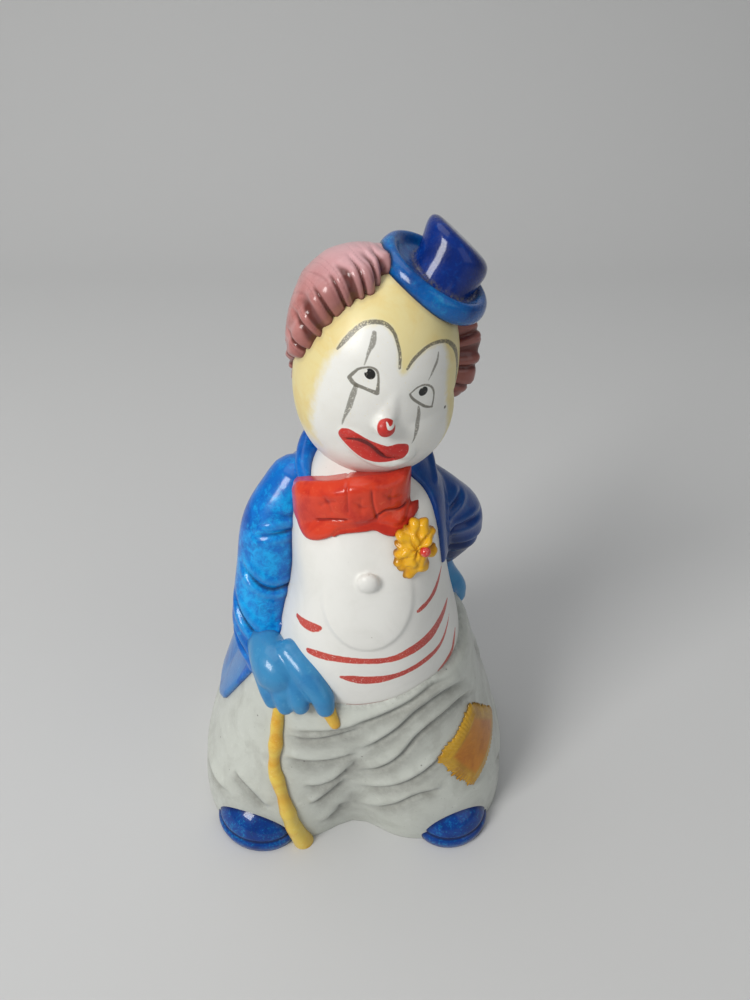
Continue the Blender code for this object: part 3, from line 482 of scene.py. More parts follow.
brushed.links.new(mask, leave.inputs["Mask"])

# The glaze's own surface: slow ripples, fine orange peel and a few pinholes
rippled, entry, leave, where = group(
    "glaze surface",
    [("Float", "Ripple", 0.5), ("Float", "Peel", 0.1), ("Float", "Grit", 0.0)],
    [("Float", "Height")],
)
slow = node(rippled, "TexNoise", {"Vector": where, "Scale": 0.22, "Detail": 2.0}).outputs[0]
fine = node(rippled, "TexNoise", {"Vector": where, "Scale": 1.4, "Detail": 3.0}).outputs[0]
grit = node(rippled, "TexNoise", {"Vector": where, "Scale": 4.5, "Detail": 2.0, "Roughness": 0.7}).outputs[0]
height = sum_up(rippled, "MULTIPLY", slow, entry.outputs["Ripple"])
height = sum_up(rippled, "ADD", height, sum_up(rippled, "MULTIPLY", fine, entry.outputs["Peel"]))
height = sum_up(rippled, "ADD", height, sum_up(rippled, "MULTIPLY", grit, entry.outputs["Grit"]))
rippled.links.new(height, leave.inputs["Height"])


def finish(name, roughness, coat=0.0, coat_roughness=0.1, specular=0.5):
    """A material with its shader's plain values set."""
    material = bpy.data.materials.new(name)
    material.use_nodes = True
    tree = material.node_tree
    shader = tree.nodes["Principled BSDF"]
    shader.inputs["Roughness"].default_value = roughness
    shader.inputs["Specular IOR Level"].default_value = specular
    shader.inputs["Coat Weight"].default_value = coat
    shader.inputs["Coat Roughness"].default_value = coat_roughness
    return material, tree, shader


def glaze(tree, shader, colour, roughness=None, ripple=0.5, peel=0.1, grit=0.0):
    """Joins a colour, a roughness and the glaze's surface to a shader."""
    tree.links.new(colour, shader.inputs["Base Color"])
    if roughness:
        tree.links.new(roughness, shader.inputs["Roughness"])
    height = placed(tree, rippled, Ripple=ripple, Peel=peel, Grit=grit).outputs[0]
    bump = node(tree, "Bump", {"Height": height, "Strength": 1.0, "Distance": MM * 0.12})
    tree.links.new(bump.outputs[0], shader.inputs["Normal"])


def fine_noise(tree, scale, detail, roughness):
    """Fine noise that is fixed to the piece it is on."""
    noise = node(tree, "TexNoise", {"Scale": scale, "Detail": detail, "Roughness": roughness}).outputs[0]
    tree.links.new(node(tree, "TexCoord").outputs["Object"], noise.node.inputs["Vector"])
    return noise


trouser_paint, tree, shader = finish("trouser_paint", 0.38, 0.4, 0.12)
base = placed(
    tree, dabbed, Colour=(0.55, 0.575, 0.525), Darker=(0.43, 0.445, 0.40), Lighter=(0.68, 0.70, 0.655),
    Grain=0.5,
)
# Grey wash with painted shade in and below each fold, thinned in streaks
wash_and_shade = read(tree, "wash_and_shade")
streaks = fine_noise(tree, 420.0, 4.0, 0.7)
worn = sum_up(tree, "MULTIPLY", wash_and_shade, steps(tree, streaks, 0.3, 0.65, 0.55, 1.0))
colour = over(tree, base.outputs[0], (0.25, 0.25, 0.225), sum_up(tree, "MULTIPLY", worn, 0.8))
# Painted shade down at the bottom of each fold
deep = steps(tree, read(tree, "fold_height"), -0.35, -0.95, 0.0, 0.75)
colour = over(tree, colour, (0.12, 0.13, 0.13), deep)
grit = placed(tree, specks, Scale=1.1, Size=0.16, Share=0.16).outputs[0]
colour = over(tree, colour, (0.22, 0.22, 0.2), sum_up(tree, "MULTIPLY", grit, 0.55))
coarse = placed(tree, specks, Scale=0.35, Size=0.1, Share=0.12).outputs[0]
colour = over(tree, colour, (0.12, 0.11, 0.1), sum_up(tree, "MULTIPLY", coarse, 0.7))
# Painted shade where the shirt and coat come close to the trousers, broken by streaks
edge = steps(tree, read(tree, "shade_reach"), 0.0, 1.6, 0.55, 0.0)
colour = over(tree, colour, (0.2, 0.2, 0.18), sum_up(tree, "MULTIPLY", edge, steps(tree, streaks, 0.35, 0.7)))
polish = steps(tree, streaks, 0.3, 0.7, 0.3, 0.5)
glaze(tree, shader, colour, polish, ripple=0.5, peel=0.35, grit=0.35)


# Bisque: the unglazed clay of the hollow and of the foot that stands on the table, with specks of grime
bisque, tree, shader = finish("bisque", 0.85)
clay = placed(
    tree, dabbed, Colour=(0.66, 0.62, 0.55), Darker=(0.5, 0.46, 0.39), Lighter=(0.74, 0.71, 0.65),
    Grain=0.2,
)
grit = placed(tree, specks, Scale=0.7, Size=0.2, Share=0.2).outputs[0]
colour = over(tree, clay.outputs[0], (0.25, 0.21, 0.17), sum_up(tree, "MULTIPLY", grit, 0.6))
glaze(tree, shader, colour, None, ripple=0.6, peel=0.7, grit=0.9)
hollow_skin = surface(hollow)


def cast(name, mesh, material, hollowed=False, bottom=False):
    """Sets a finished piece of the casting into the frame, cut flat or hollowed where it needs to be."""
    if bottom:
        mesh = cut_away(mesh, table_block)
    if hollowed:
        mesh = cut_away(mesh, hollow)
    mesh.name = name
    mesh.materials.clear()
    mesh.materials.append(material)
    if hollowed:
        mesh.materials.append(bisque)
        for face in mesh.polygons:
            near = hollow_skin.find_nearest(face.center, 0.5)
            if (near[0] is not None and near[3] < 0.06) or face.center.z < 0.05:
                face.material_index = 1
    mesh.transform(Matrix.Translation(PLACE) @ Matrix.Scale(MM, 4))
    mesh.shade_smooth()
    made = bpy.data.objects.new(name, mesh)
    bpy.context.scene.collection.objects.link(made)
    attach(made, "bell")
    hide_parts("clown_bell")
    return made


# How far each point is from the shirt and coat, for the painted shade
mark(trousers, "shade_reach", reach(trousers, surface(torso, coat_body)))
cast("trousers", trousers, trouser_paint, hollowed=True, bottom=True)


# The shirt
# A white shirt stretched over the belly, with a raised bib and one dome button in the middle of it.
# White glaze, with red stripes laid on in single strokes that start thick and run out thin.
BIB_CENTRE = (4.4, 77.5)
BIB_RADII = (10.0, 11.4)
BIB_FADE_TOP = 86.0
BIB_FADE = 14.0
BIB_THICKNESS = 0.55
BIB_ROOT = 1.5
BIB_EDGE = 0.05
BIB_RISE = 1.3
BUTTON = (4.6, 82.6)
BUTTON_RADII = (2.4, 1.5, 2.4)
BUTTON_LIFT = 0.6
# Stripes are strokes of bearing, height and half width
STRIPES = [
    [(-37.2, 68.6, 0.5), (-32, 68.5, 1.0), (-26, 68.9, 1.15), (-21, 69.6, 0.9), (-19, 70.0, 0.5)],
    [(-25.5, 62.6, 0.7), (-20, 62.9, 0.95), (-8.1, 63.3, 0.85), (8.6, 63.2, 0.75), (18, 63.3, 0.85),
     (25.9, 64.0, 1.15), (38.7, 65.1, 1.35), (48, 66.2, 1.15), (58, 67, 0.8), (63, 67.2, 0.3)],
    [(-7.5, 58.2, 0.4), (-2, 57.9, 1.0), (4, 57.6, 1.15), (12, 57.7, 1.0), (20.5, 58.1, 0.7),
     (34.6, 59.1, 0.75), (46.3, 59.8, 0.6), (57, 61.9, 0.35), (62, 63.0, 0.2)],
    [
        (56.5, 78.6, 0.15), (52, 77.2, 0.6), (46, 75.6, 0.75), (40, 74.6, 0.6), (33, 73.9, 0.55),
        (31.5, 73.8, 0.4),
    ],
    [(68, 56.5, 0.25), (63, 55.0, 0.8), (58.9, 53.4, 0.85), (51, 53.0, 0.6), (44, 52.6, 0.3)],
]
STRIPE_ROUND = 24.0
# The dark line at the waist runs between these bearings
WAIST_LINE = (-6, 66)
WAIST_LINE_HALF = 0.28


def front(tree, x, z, lift=0.0):
    """The point of a skin straight ahead of x and z, lifted towards the front."""
    hit, normal, _, _ = tree.ray_cast(Vector((x, -100, z)), Vector((0, 1, 0)))
    return hit + (normal + Vector((0, -1, 0))).normalized() * lift


def slab(name, place, rows, columns):
    """A closed sheet: place(s, t, side) gives its points, with side 0 for the back and 1 for the front."""
    wide, high = columns + 1, rows + 1
    points = []
    for side in (0, 1):
        for i in range(high):
            points += [place(i / rows, j / columns, side) for j in range(wide)]
    faces = []
    for side in (0, 1):
        for i in range(rows):
            for j in range(columns):
                k = side * wide * high + i * wide + j
                faces.append((k, k + 1, k + wide + 1, k + wide))
    rim = [(i, 0) for i in range(rows)] + [(rows, j) for j in range(columns)]
    rim += [(i, columns) for i in range(rows, 0, -1)] + [(0, j) for j in range(columns, 0, -1)]
    for (i, j), (m, n) in zip(rim, rim[1:] + rim[:1]):
        a, b = i * wide + j, m * wide + n
        faces.append((a, b, b + wide * high, a + wide * high))
    return closed_mesh(name, points, faces)


def ellipsoid(name, centre, radii, turn=Matrix.Identity(3), segments=64):
    """A sphere stretched to three radii and turned about its centre."""
    work = bmesh.new()
    place = Matrix.Translation(centre) @ turn.to_4x4() @ Matrix.Diagonal((*radii, 1))
    bmesh.ops.create_uvsphere(work, u_segments=segments, v_segments=segments // 2, radius=1.0, matrix=place)
    mesh = bpy.data.meshes.new(name)
    work.to_mesh(mesh)
    work.free()
    return mesh


def fuse(name, forms, voxel, soften=0):
    """Fuses forms into one skin, softened as the glaze leaves it."""
    work = bmesh.new()
    for form in forms:
        work.from_mesh(form)
    joined = bpy.data.meshes.new(name)
    work.to_mesh(joined)
    work.free()
    made = evaluated(name, joined, "REMESH", mode="VOXEL", voxel_size=voxel)
    return evaluated(name, made, "SMOOTH", factor=0.5, iterations=soften) if soften else made


def stroke_depth(points, stroke):
    """How deep points lie inside a brush stroke, in the stroke's own units."""
    path = smooth_path(stroke, 8 * len(stroke))
    distance, along, _, _ = along_path(points, path[:, :-1])
    return np.interp(along, np.linspace(0, 1, len(path)), path[:, -1]) - distance


def bearings(points):
    """Bearing in degrees and height of each point."""
    turn = np.degrees(np.arctan2(points[:, 0] - AXIS.x, -(points[:, 1] - AXIS.y)))
    return turn, points[:, 2]


torso_skin = surface(torso)


def bib_place(s, t, side):
    turn = 2 * math.pi * s
    down = math.cos(turn)
    x = BIB_CENTRE[0] + BIB_RADII[0] * t * math.sin(turn)
    z = BIB_CENTRE[1] - BIB_RADII[1] * t * down * (1.0 if down > 0 else BIB_RISE)
    fade = min(1.0, max(0.0, (BIB_FADE_TOP - z) / BIB_FADE))
    lift = -BIB_ROOT if side == 0 else BIB_THICKNESS * min(1.0, (1 - t) / BIB_EDGE) * fade
    return front(torso_skin, x, z, lift)


bib = slab("bib", bib_place, 120, 30)
button = ellipsoid("button", front(torso_skin, *BUTTON, BUTTON_LIFT), BUTTON_RADII)
shirt = fuse("shirt", [torso, bib, button], 0.4, 5)
turn, height = bearings(corners_of(shirt))
around = np.stack([np.radians(turn) * STRIPE_ROUND, height], axis=1)
depth = np.full(len(around), -9.0)
for stripe in STRIPES:
    stroke = [(math.radians(b) * STRIPE_ROUND, z, half) for b, z, half in stripe]
    depth = np.maximum(depth, stroke_depth(around, stroke))
mark(shirt, "stripes", depth)
trousers_form = loft("trousers_form", TROUSERS, 60, 160, shape=drape)
at_waist = reach(shirt, surface(trousers_form))
mark(
    shirt, "waist_line",
    np.where((turn > WAIST_LINE[0]) & (turn < WAIST_LINE[1]), WAIST_LINE_HALF - at_waist, -1.0),
)

shirt_paint, tree, shader = finish("white_shirt_glaze", 0.4, 0.15, 0.2)
base = placed(
    tree, dabbed, Colour=(0.80, 0.80, 0.765), Darker=(0.75, 0.75, 0.71), Lighter=(0.83, 0.83, 0.8),
    Grain=0.12,
)
red = placed(
    tree, dabbed, Colour=(0.56, 0.055, 0.035), Darker=(0.40, 0.025, 0.02), Lighter=(0.68, 0.17, 0.12),
    Grain=0.9,
)
halo = placed(tree, brushed, Depth=read(tree, "stripes"), Softness=0.35, Waver=0.2).outputs[0]
colour = over(tree, base.outputs[0], (0.86, 0.55, 0.48), sum_up(tree, "MULTIPLY", halo, 0.55))
laid = placed(tree, brushed, Depth=read(tree, "stripes"), Softness=0.09, Waver=0.35, Dryness=0.06).outputs[0]
colour = over(tree, colour, red.outputs[0], laid)
line = placed(tree, brushed, Depth=read(tree, "waist_line"), Softness=0.08, Waver=0.16).outputs[0]
colour = over(tree, colour, (0.33, 0.06, 0.06), sum_up(tree, "MULTIPLY", line, 0.8))
grit = placed(tree, specks, Scale=0.22, Size=0.045, Share=0.25).outputs[0]
colour = over(tree, colour, (0.3, 0.28, 0.24), sum_up(tree, "MULTIPLY", grit, 0.6))
# Painted shade where the coat and the trousers come close
shade = steps(tree, read(tree, "shade_reach"), 0.0, 1.4, 0.35, 0.0)
colour = over(tree, colour, (0.45, 0.42, 0.38), shade)
glaze(tree, shader, colour, None, ripple=0.35, peel=0.06)


# The coat
# A deep blue tail coat: its back, the hanging right sleeve, the left sleeve with the hand behind the hip,
# the collar and the tails. Blue is sponged on thinly, with painted highlights where the cloth is raised and
# nearly black painted shade in folds and on the clown's left side.
RIGHT_SLEEVE = [
    (-12.0, -2, 90.5, 7.4),
    (-17.2, -5, 82, 7.8),
    (-19.4, -8, 71, 7.6),
    (-20.8, -11, 61, 7.6),
    (-20.8, -14, 54.5, 7.0),
    (-19.6, -17, 50.5, 6.2),
]
LEFT_SLEEVE = [
    (14.0, -2, 90.5, 7.4),
    (21.0, 1, 83.5, 7.4),
    (24.6, 5, 76, 8.2),
    (22.8, 7, 68.5, 7.0),
    (21.5, 9, 62.5, 5.2),
]
COLLAR = [
    (-8.5, -11.5, 96.5, 1.4), (-9.6, -6, 99, 2.0), (-8, 2, 101.5, 2.4), (-2, 7, 103, 2.6), (7, 8, 103.5, 2.6),
    (14, 4, 102.5, 2.4), (17.0, -3, 99.5, 2.0), (18.5, -9, 96.5, 1.5),
]
TAIL_EDGE = [
    (-205, 26), (-182, 24), (-180, 36), (-178, 24), (-150, 22), (-115, 23),
    (-84, 26), (-76, 30), (-69, 39), (-60, 49), (-52, 56),
]
# The coat's front edge on the clown's left, as bearing and height, and how far the front runs round from it
LAPEL = [
    (50.0, 104.5), (51.5, 101.0), (57.5, 98.0), (59.0, 95.2), (57.8, 92.0), (57.0, 88.0), (56.0, 84.0),
    (57.0, 79.0),
]
LAPEL_TURN = 34.0
LAPEL_THICKNESS = 0.8
LAPEL_ROOT = 1.2
LAPEL_ROWS = 120
TAIL_TOP = 62.0
TAIL_THICKNESS = 1.7
TAIL_ROOT = 1.2
# Creases are lines of bearing and height on the sleeves, with a depth and a width
CREASES = [
    [(-76, 76), (-62, 71), (-52, 67)],
    [(-78, 68), (-64, 62), (-52, 57)],
    [(-82, 61), (-68, 56.5), (-56, 52)],
    [(-72, 89), (-60, 86), (-50, 84)],
    [(-74, 83), (-60, 84.5), (-50, 82)],
    [(75, 84), (88, 87), (100, 89)],
    [(77, 79), (90, 80.5), (106, 80)],
    [(80, 74), (92, 73.5), (108, 72)],
    [(84, 69), (94, 67), (106, 65)],
]
CREASE_DEPTH = 0.7
CREASE_WIDTH = 0.75
CREASE_LIFT = 0.45


def tube(name, rows, sides):
    """A round form along rows of x, y, z and radius, closed by domes."""
    points = [Vector(row[:3]) for row in rows]
    rings = []
    side = Vector((1, 0, 0))
    last = len(rows) - 1
    for i, point in enumerate(points):
        along = (points[min(i + 1, last)] - points[max(i - 1, 0)]).normalized()
        side = (side - along * side.dot(along)).normalized()
        up = along.cross(side)
        domes = [(0.0, 1.0)]
        if i == 0:
            domes = [(-math.cos(a), math.sin(a)) for a in np.radians((10, 30, 50, 70, 90))]
        if i == last:
            domes = [(math.cos(a), math.sin(a)) for a in np.radians((90, 70, 50, 30, 10))]
        for lift, share in domes:
            centre = point + along * lift * rows[i][3]
            turns = np.linspace(0, 2 * math.pi, sides, endpoint=False)
            rings.append(
                [centre + (side * math.cos(t) + up * math.sin(t)) * share * rows[i][3] for t in turns],
            )
    return skin(name, np.array(rings))


def limb(name, stations, count=60, sides=48):
    """A round form along a smooth curve through stations of x, y, z and radius."""
    return tube(name, smooth_path(stations, count), sides)


tail_bearings, tail_edges = zip(*TAIL_EDGE)


def tail_place(s, t, side):
    bearing = tail_bearings[0] + (tail_bearings[-1] - tail_bearings[0]) * s
    low = float(np.interp(bearing, tail_bearings, tail_edges))
    z = low + (TAIL_TOP - low) * t
    axis = AXIS + Vector((0, 0, z))
    on_skin = wrap(body, bearing, z) - axis
    if side == 0:
        return axis + on_skin - on_skin.normalized() * TAIL_ROOT
    rim = min(s, 1 - s, t * 0.5) / 0.03
    hung = wrap(body, bearing, low).lerp(wrap(body, bearing, TAIL_TOP), t) - axis
    thickness = TAIL_THICKNESS * min(1.0, 0.4 + 0.6 * rim) * (1 - t**3)
    return axis + on_skin.normalized() * (max(on_skin.length, hung.length) + thickness)


def lapel_place(s, t, side):
    bearing, z = lapel_line[round(s * LAPEL_ROWS)]
    lift = -LAPEL_ROOT if side == 0 else LAPEL_THICKNESS * min(1.0, 0.5 + t / 0.1)
    return wrap(body, bearing + LAPEL_TURN * t, z, lift)


lapel_line = smooth_path(LAPEL, LAPEL_ROWS + 1)
lapel = slab("lapel", lapel_place, LAPEL_ROWS, 40)
right_sleeve = limb("right_sleeve", RIGHT_SLEEVE)
left_sleeve = limb("left_sleeve", LEFT_SLEEVE)
collar = limb("collar", COLLAR, 80, 24)
tails = slab("tails", tail_place, 200, 60)
coat = fuse("coat", [coat_body, right_sleeve, left_sleeve, collar, tails, lapel], 0.49, 6)


def press_creases(mesh, creases, tree, depth, width, lift):
    """Cuts creases with a roll of cloth beside them. Returns the height given."""
    points = corners_of(mesh)
    height = np.zeros(len(points))
    for crease in creases:
        path = np.array([wrap(tree, *place) for place in smooth_path(crease, 6 * len(crease))])
        distance, along, _, _ = along_path(points, path)
        fade = np.clip(np.minimum(along, 1 - along) / 0.35, 0, 1)
        height -= depth * fade * np.exp(-((distance / width) ** 2))
        height += lift * fade * np.exp(-(((distance - 2.2 * width) / (1.3 * width)) ** 2))
    raise_by(mesh, height)
    return height


dressed = surface(coat)
crease_height = press_creases(coat, CREASES, dressed, CREASE_DEPTH, CREASE_WIDTH, CREASE_LIFT)
mark(coat, "crease_height", crease_height)
# Where the sponge left the blue thin, and painted light on the lit front of the right sleeve: places x, y, z, how
# far it reaches and how strong it is
THIN_AND_LIT_BLUE = [
    ((-22, -14, 78), 9, 1.0), ((-22, -17, 66), 8, 0.8), ((-14, -12, 90), 7, 0.7), ((-21, -19, 58), 6, 0.5),
    ((-14, -14, 95), 5, 0.8), ((24, -2, 86), 7, 0.25), ((31, 0, 78), 5, 0.2), ((0, 26, 80), 14, 0.5),
    ((-20, 20, 40), 12, 0.5), ((22, 24, 36), 12, 0.45),
]
# Where it pooled, and painted shade on the clown's left front and on the right sleeve
THICK_AND_SHADED_BLUE = [
    ((25, -5, 70), 8, 1.0), ((20, -8, 78), 6, 0.8), ((-18, -17, 50), 6, 0.7), ((-26, -6, 84), 5, 0.4),
    ((27, 2, 66), 6, 0.8),
]


def spread(mesh, places):
    """A soft mask round named places, each with its reach and strength."""
    points = corners_of(mesh)
    total = np.zeros(len(points))
    for place, width, strength in places:
        away = np.linalg.norm(points - np.array(place), axis=1)
        total += strength * np.exp(-((away / width) ** 2))
    return np.clip(total, 0, 1)


mark(coat, "thin", spread(coat, THIN_AND_LIT_BLUE))
mark(coat, "thick_and_shaded", spread(coat, THICK_AND_SHADED_BLUE))
# Painted shade over the clown's left side, away from the light
mark(coat, "shaded_own_left", np.clip((corners_of(coat)[:, 0] - 8) / 8, 0, 1))
mark(coat, "tail", np.clip((56 - corners_of(coat)[:, 2]) / 6, 0, 1) * (corners_of(coat)[:, 1] > -16))
mark(coat, "shade_reach", reach(coat, surface(shirt, trousers)))

coat_paint, tree, shader = finish("blue_coat_paint", 0.3, 0.5, 0.1, 0.15)
# Lighter where the blue is thin and lit, darker where it pooled and in painted shade
lightness = sum_up(tree, "MULTIPLY", read(tree, "thin"), 0.2)
lightness = sum_up(tree, "ADD", lightness, sum_up(tree, "MULTIPLY", read(tree, "thick_and_shaded"), -0.3))
lightness = sum_up(tree, "ADD", lightness, 0.02)
base = placed(
    tree, dabbed, Colour=(0.002, 0.165, 0.60), Darker=(0.001, 0.045, 0.32), Lighter=(0.006, 0.42, 0.88),
    Grain=0.55,
    Lightness=lightness,
)
violet = placed(
    tree, dabbed, Colour=(0.035, 0.20, 0.52), Darker=(0.008, 0.09, 0.38), Lighter=(0.09, 0.33, 0.62),
    Grain=0.4,
    Seed=7.0,
)
colour = over(tree, base.outputs[0], violet.outputs[0], read(tree, "tail"))
# Painted shade: nearly black down in the sleeves' creases
folds = steps(tree, read(tree, "crease_height"), -0.12, -0.7, 0.0, 0.85)
colour = over(tree, colour, (0.001, 0.008, 0.07), folds)
# Painted highlight on the rolls of cloth beside the creases
raised_highlight = steps(tree, read(tree, "crease_height"), 0.1, 0.45, 0.0, 0.45)
colour = over(tree, colour, (0.05, 0.27, 0.62), raised_highlight)
# Painted shade on the clown's left side
colour = over(tree, colour, (0.001, 0.025, 0.17), sum_up(tree, "MULTIPLY", read(tree, "shaded_own_left"), 0.78))
# Darker where the blue pooled and where painted shade lies
pooled_and_shaded = steps(tree, read(tree, "thick_and_shaded"), 0.35, 1.0, 0.0, 0.75)
colour = over(tree, colour, (0.002, 0.012, 0.075), pooled_and_shaded)
# Painted shade where the shirt and trousers come close
neighbour_shade = steps(tree, read(tree, "shade_reach"), 0.0, 1.0, 0.7, 0.0)
colour = over(tree, colour, (0.004, 0.03, 0.16), neighbour_shade)
glaze(tree, shader, colour, None, ripple=0.6, peel=0.45, grit=0.12)


mark(shirt, "shade_reach", np.minimum(reach(shirt, surface(coat)), reach(shirt, surface(trousers)) * 1.5))
cast("shirt", shirt, shirt_paint, hollowed=True)
cast("coat", coat, coat_paint, hollowed=True)


# The gloves
# Light blue gloves: the right one hangs in front as a mitt with its fingers folded round the cane's handle,
# the left one is tucked behind the hip. Thin light blue over white, so it is paler on the knuckles.
RIGHT_PALM = [
    (-21.0, -16.5, 56.5, 4.0),
    (-18.0, -23.5, 56.0, 5.2),
    (-15.6, -26.2, 54.0, 5.6),
    (-14.4, -28.0, 51.6, 4.2),
]
RIGHT_FINGERS = [
    [(-20.2, -23.5, 54.0, 3.0), (-18.6, -27.8, 50.8, 2.5), (-17.8, -29.2, 48.4, 2.1)],
    [(-16.2, -27.0, 54.0, 3.2), (-15.2, -30.2, 50.6, 2.5), (-14.6, -31.2, 48.6, 2.1)],
    [(-12.6, -28.0, 54.5, 3.2), (-11.4, -31.2, 51.0, 2.5), (-11.0, -31.8, 49.4, 2.1)],
    [(-13.6, -24.5, 59.0, 3.4), (-9.4, -28.6, 56.2, 3.4), (-6.2, -31.4, 52.2, 2.8), (-5.4, -32.4, 49.6, 2.3)],
]
LEFT_GLOVE = [(21.5, 9, 62, 3.6), (24.5, 9.5, 55, 3.4), (27.6, 9.5, 50, 3.2), (28.4, 9.5, 46.8, 2.7)]
LEFT_PALM = (24.0, 7.5, 49.5)
LEFT_PALM_RADII = (4.4, 4.4, 5.0)

hands = [
    limb("palm", RIGHT_PALM), limb("left_glove", LEFT_GLOVE),
    ellipsoid("left_palm", LEFT_PALM, LEFT_PALM_RADII),
]
hands += [limb(f"finger_{i}", stations) for i, stations in enumerate(RIGHT_FINGERS)]
gloves = fuse("gloves", hands, 0.34, 9)
mark(gloves, "shade_reach", reach(gloves, surface(coat), surface(trousers)))
glove_paint, tree, shader = finish("light_blue_glove_paint", 0.3, 0.4, 0.1, 0.2)
base = placed(
    tree, dabbed, Colour=(0.045, 0.25, 0.50), Darker=(0.025, 0.17, 0.42), Lighter=(0.13, 0.40, 0.62),
    Grain=0.5,
    Lightness=-0.02,
)
# Painted shade where the coat and trousers come close
neighbour_shade = steps(tree, read(tree, "shade_reach"), 0.0, 1.3, 0.6, 0.0)
colour = over(tree, base.outputs[0], (0.03, 0.12, 0.33), neighbour_shade)
glaze(tree, shader, colour, None, ripple=0.5, peel=0.3)
cast("gloves", gloves, glove_paint)


# The cane
# A crooked stick held against the trousers, its handle's end showing under the thumb. Raised clay in the
# same casting, painted yellow ochre with orange where the brush was fuller.
CANE = [
    (-40.5, 50.0, 1.5), (-38.0, 42.0, 1.5), (-37.0, 35.5, 1.6), (-36.4, 28.5, 1.6), (-34.6, 24.5, 1.7),
    (-32.6, 20.0, 1.7), (-30.4, 13.5, 1.9), (-28.6, 7.0, 2.1), (-26.4, 0.5, 2.6), (-26.0, -3.0, 2.7),
]
CANE_HANDLE = [(-20.0, 50.0, 1.7), (-15.0, 48.0, 1.9), (-12.6, 46.4, 1.7), (-10.6, 44.4, 1.4)]
CANE_LIFT = 0.5
# Knots are heights up the stick and how far they stand out
KNOTS = [
    (46.5, -0.15), (40.5, 0.12), (35.0, 0.3), (31.0, -0.2), (25.2, 0.22), (19.5, -0.2), (13.6, 0.25),
    (7.5, 0.15),
]
KNOT_LENGTH = 1.7

cloth = surface(trousers)
shaft = [(*wrap(body, bearing, z, CANE_LIFT), radius) for bearing, z, radius in CANE]
handle = [(*wrap(body, bearing, z, CANE_LIFT), radius) for bearing, z, radius in CANE_HANDLE]
cane = fuse("cane", [limb("shaft", shaft, 120, 32), limb("handle", handle, 40, 32)], 0.3, 5)
swollen = sum(rise * np.exp(-(((corners_of(cane)[:, 2] - z) / KNOT_LENGTH) ** 2)) for z, rise in KNOTS)
raise_by(cane, swollen)
mark(cane, "knots", swollen)
mark(cane, "shade_reach", reach(cane, cloth))
cane_paint, tree, shader = finish("ochre_paint", 0.32, 0.4, 0.1, 0.2)
base = placed(
    tree, dabbed, Colour=(0.78, 0.57, 0.10), Darker=(0.68, 0.30, 0.015), Lighter=(0.84, 0.72, 0.32),
    Grain=0.6,
)
between = steps(tree, read(tree, "knots"), 0.05, -0.25, 0.0, 0.5)
colour = over(tree, base.outputs[0], (0.66, 0.30, 0.014), between)
# Painted shade where the cane lies against the trousers
neighbour_shade = steps(tree, read(tree, "shade_reach"), 0.1, 0.9, 0.45, 0.0)
colour = over(tree, colour, (0.36, 0.22, 0.05), neighbour_shade)
glaze(tree, shader, colour, None, ripple=0.5, peel=0.5, grit=0.2)
cast("cane", cane, cane_paint, bottom=True)


# The patch
# A patch sewn on the left trouser leg: an orange cushion of cloth with a frayed ochre border, whose threads
# lie side by side across its edge. It is raised in the mould and painted with the trousers.
PATCH = [(57.0, 37.6), (76.0, 25.8), (48.7, 17.2), (36.0, 29.9)]
PATCH_THICKNESS = 1.3
PATCH_ROOT = 1.2
THREAD_SPACING = 1.05
THREAD_LENGTH = 3.6
THREAD_RADIUS = 0.5

corner = [Vector((bearing, z, 0)) for bearing, z in PATCH]


def patch_at(s, t):
    bearing, z, _ = corner[0].lerp(corner[1], s).lerp(corner[3].lerp(corner[2], s), t)
    return bearing, z


def patch_place(s, t, side):
    rim = min(s, 1 - s, t * 1.5, (1 - t) * 1.5)
    lift = -PATCH_ROOT if side == 0 else PATCH_THICKNESS * min(1.0, 0.35 + rim / 0.2)
    return wrap(body, *patch_at(s, t), lift)


def node_tree(name, sockets):
    """A geometry node group with named inputs, and its entry and exit."""
    tree = bpy.data.node_groups.new(name, "GeometryNodeTree")
    tree.interface.new_socket("Geometry", in_out="INPUT", socket_type="NodeSocketGeometry")
    for kind, label in sockets:
        tree.interface.new_socket(label, in_out="INPUT", socket_type="NodeSocket" + kind)
    tree.interface.new_socket("Geometry", in_out="OUTPUT", socket_type="NodeSocketGeometry")
    return tree, tree.nodes.new("NodeGroupInput"), tree.nodes.new("NodeGroupOutput")


def part_of(tree, kind, values=None, **settings):
    """A geometry node with its settings, and its inputs set or linked."""
    made = tree.nodes.new(kind)
    for key, value in settings.items():
        setattr(made, key, value)
    for key, value in (values or {}).items():
        if isinstance(value, bpy.types.NodeSocket):
            tree.links.new(value, made.inputs[key])
        else:
            made.inputs[key].default_value = value
    return made


def grown(name, mesh, tree, values):
    """The plain mesh that a geometry node group makes from a mesh and its named inputs."""
    host = bpy.data.objects.new(name, mesh)
    bpy.context.scene.collection.objects.link(host)
    modifier = host.modifiers.new("grow", "NODES")
    modifier.node_group = tree
    for item in tree.interface.items_tree:
        if item.in_out == "INPUT" and item.name in values:
            modifier[item.identifier] = values[item.name]
    made = bpy.data.meshes.new_from_object(host.evaluated_get(bpy.context.evaluated_depsgraph_get()))
    bpy.data.objects.remove(host)
    made.name = name
    return made


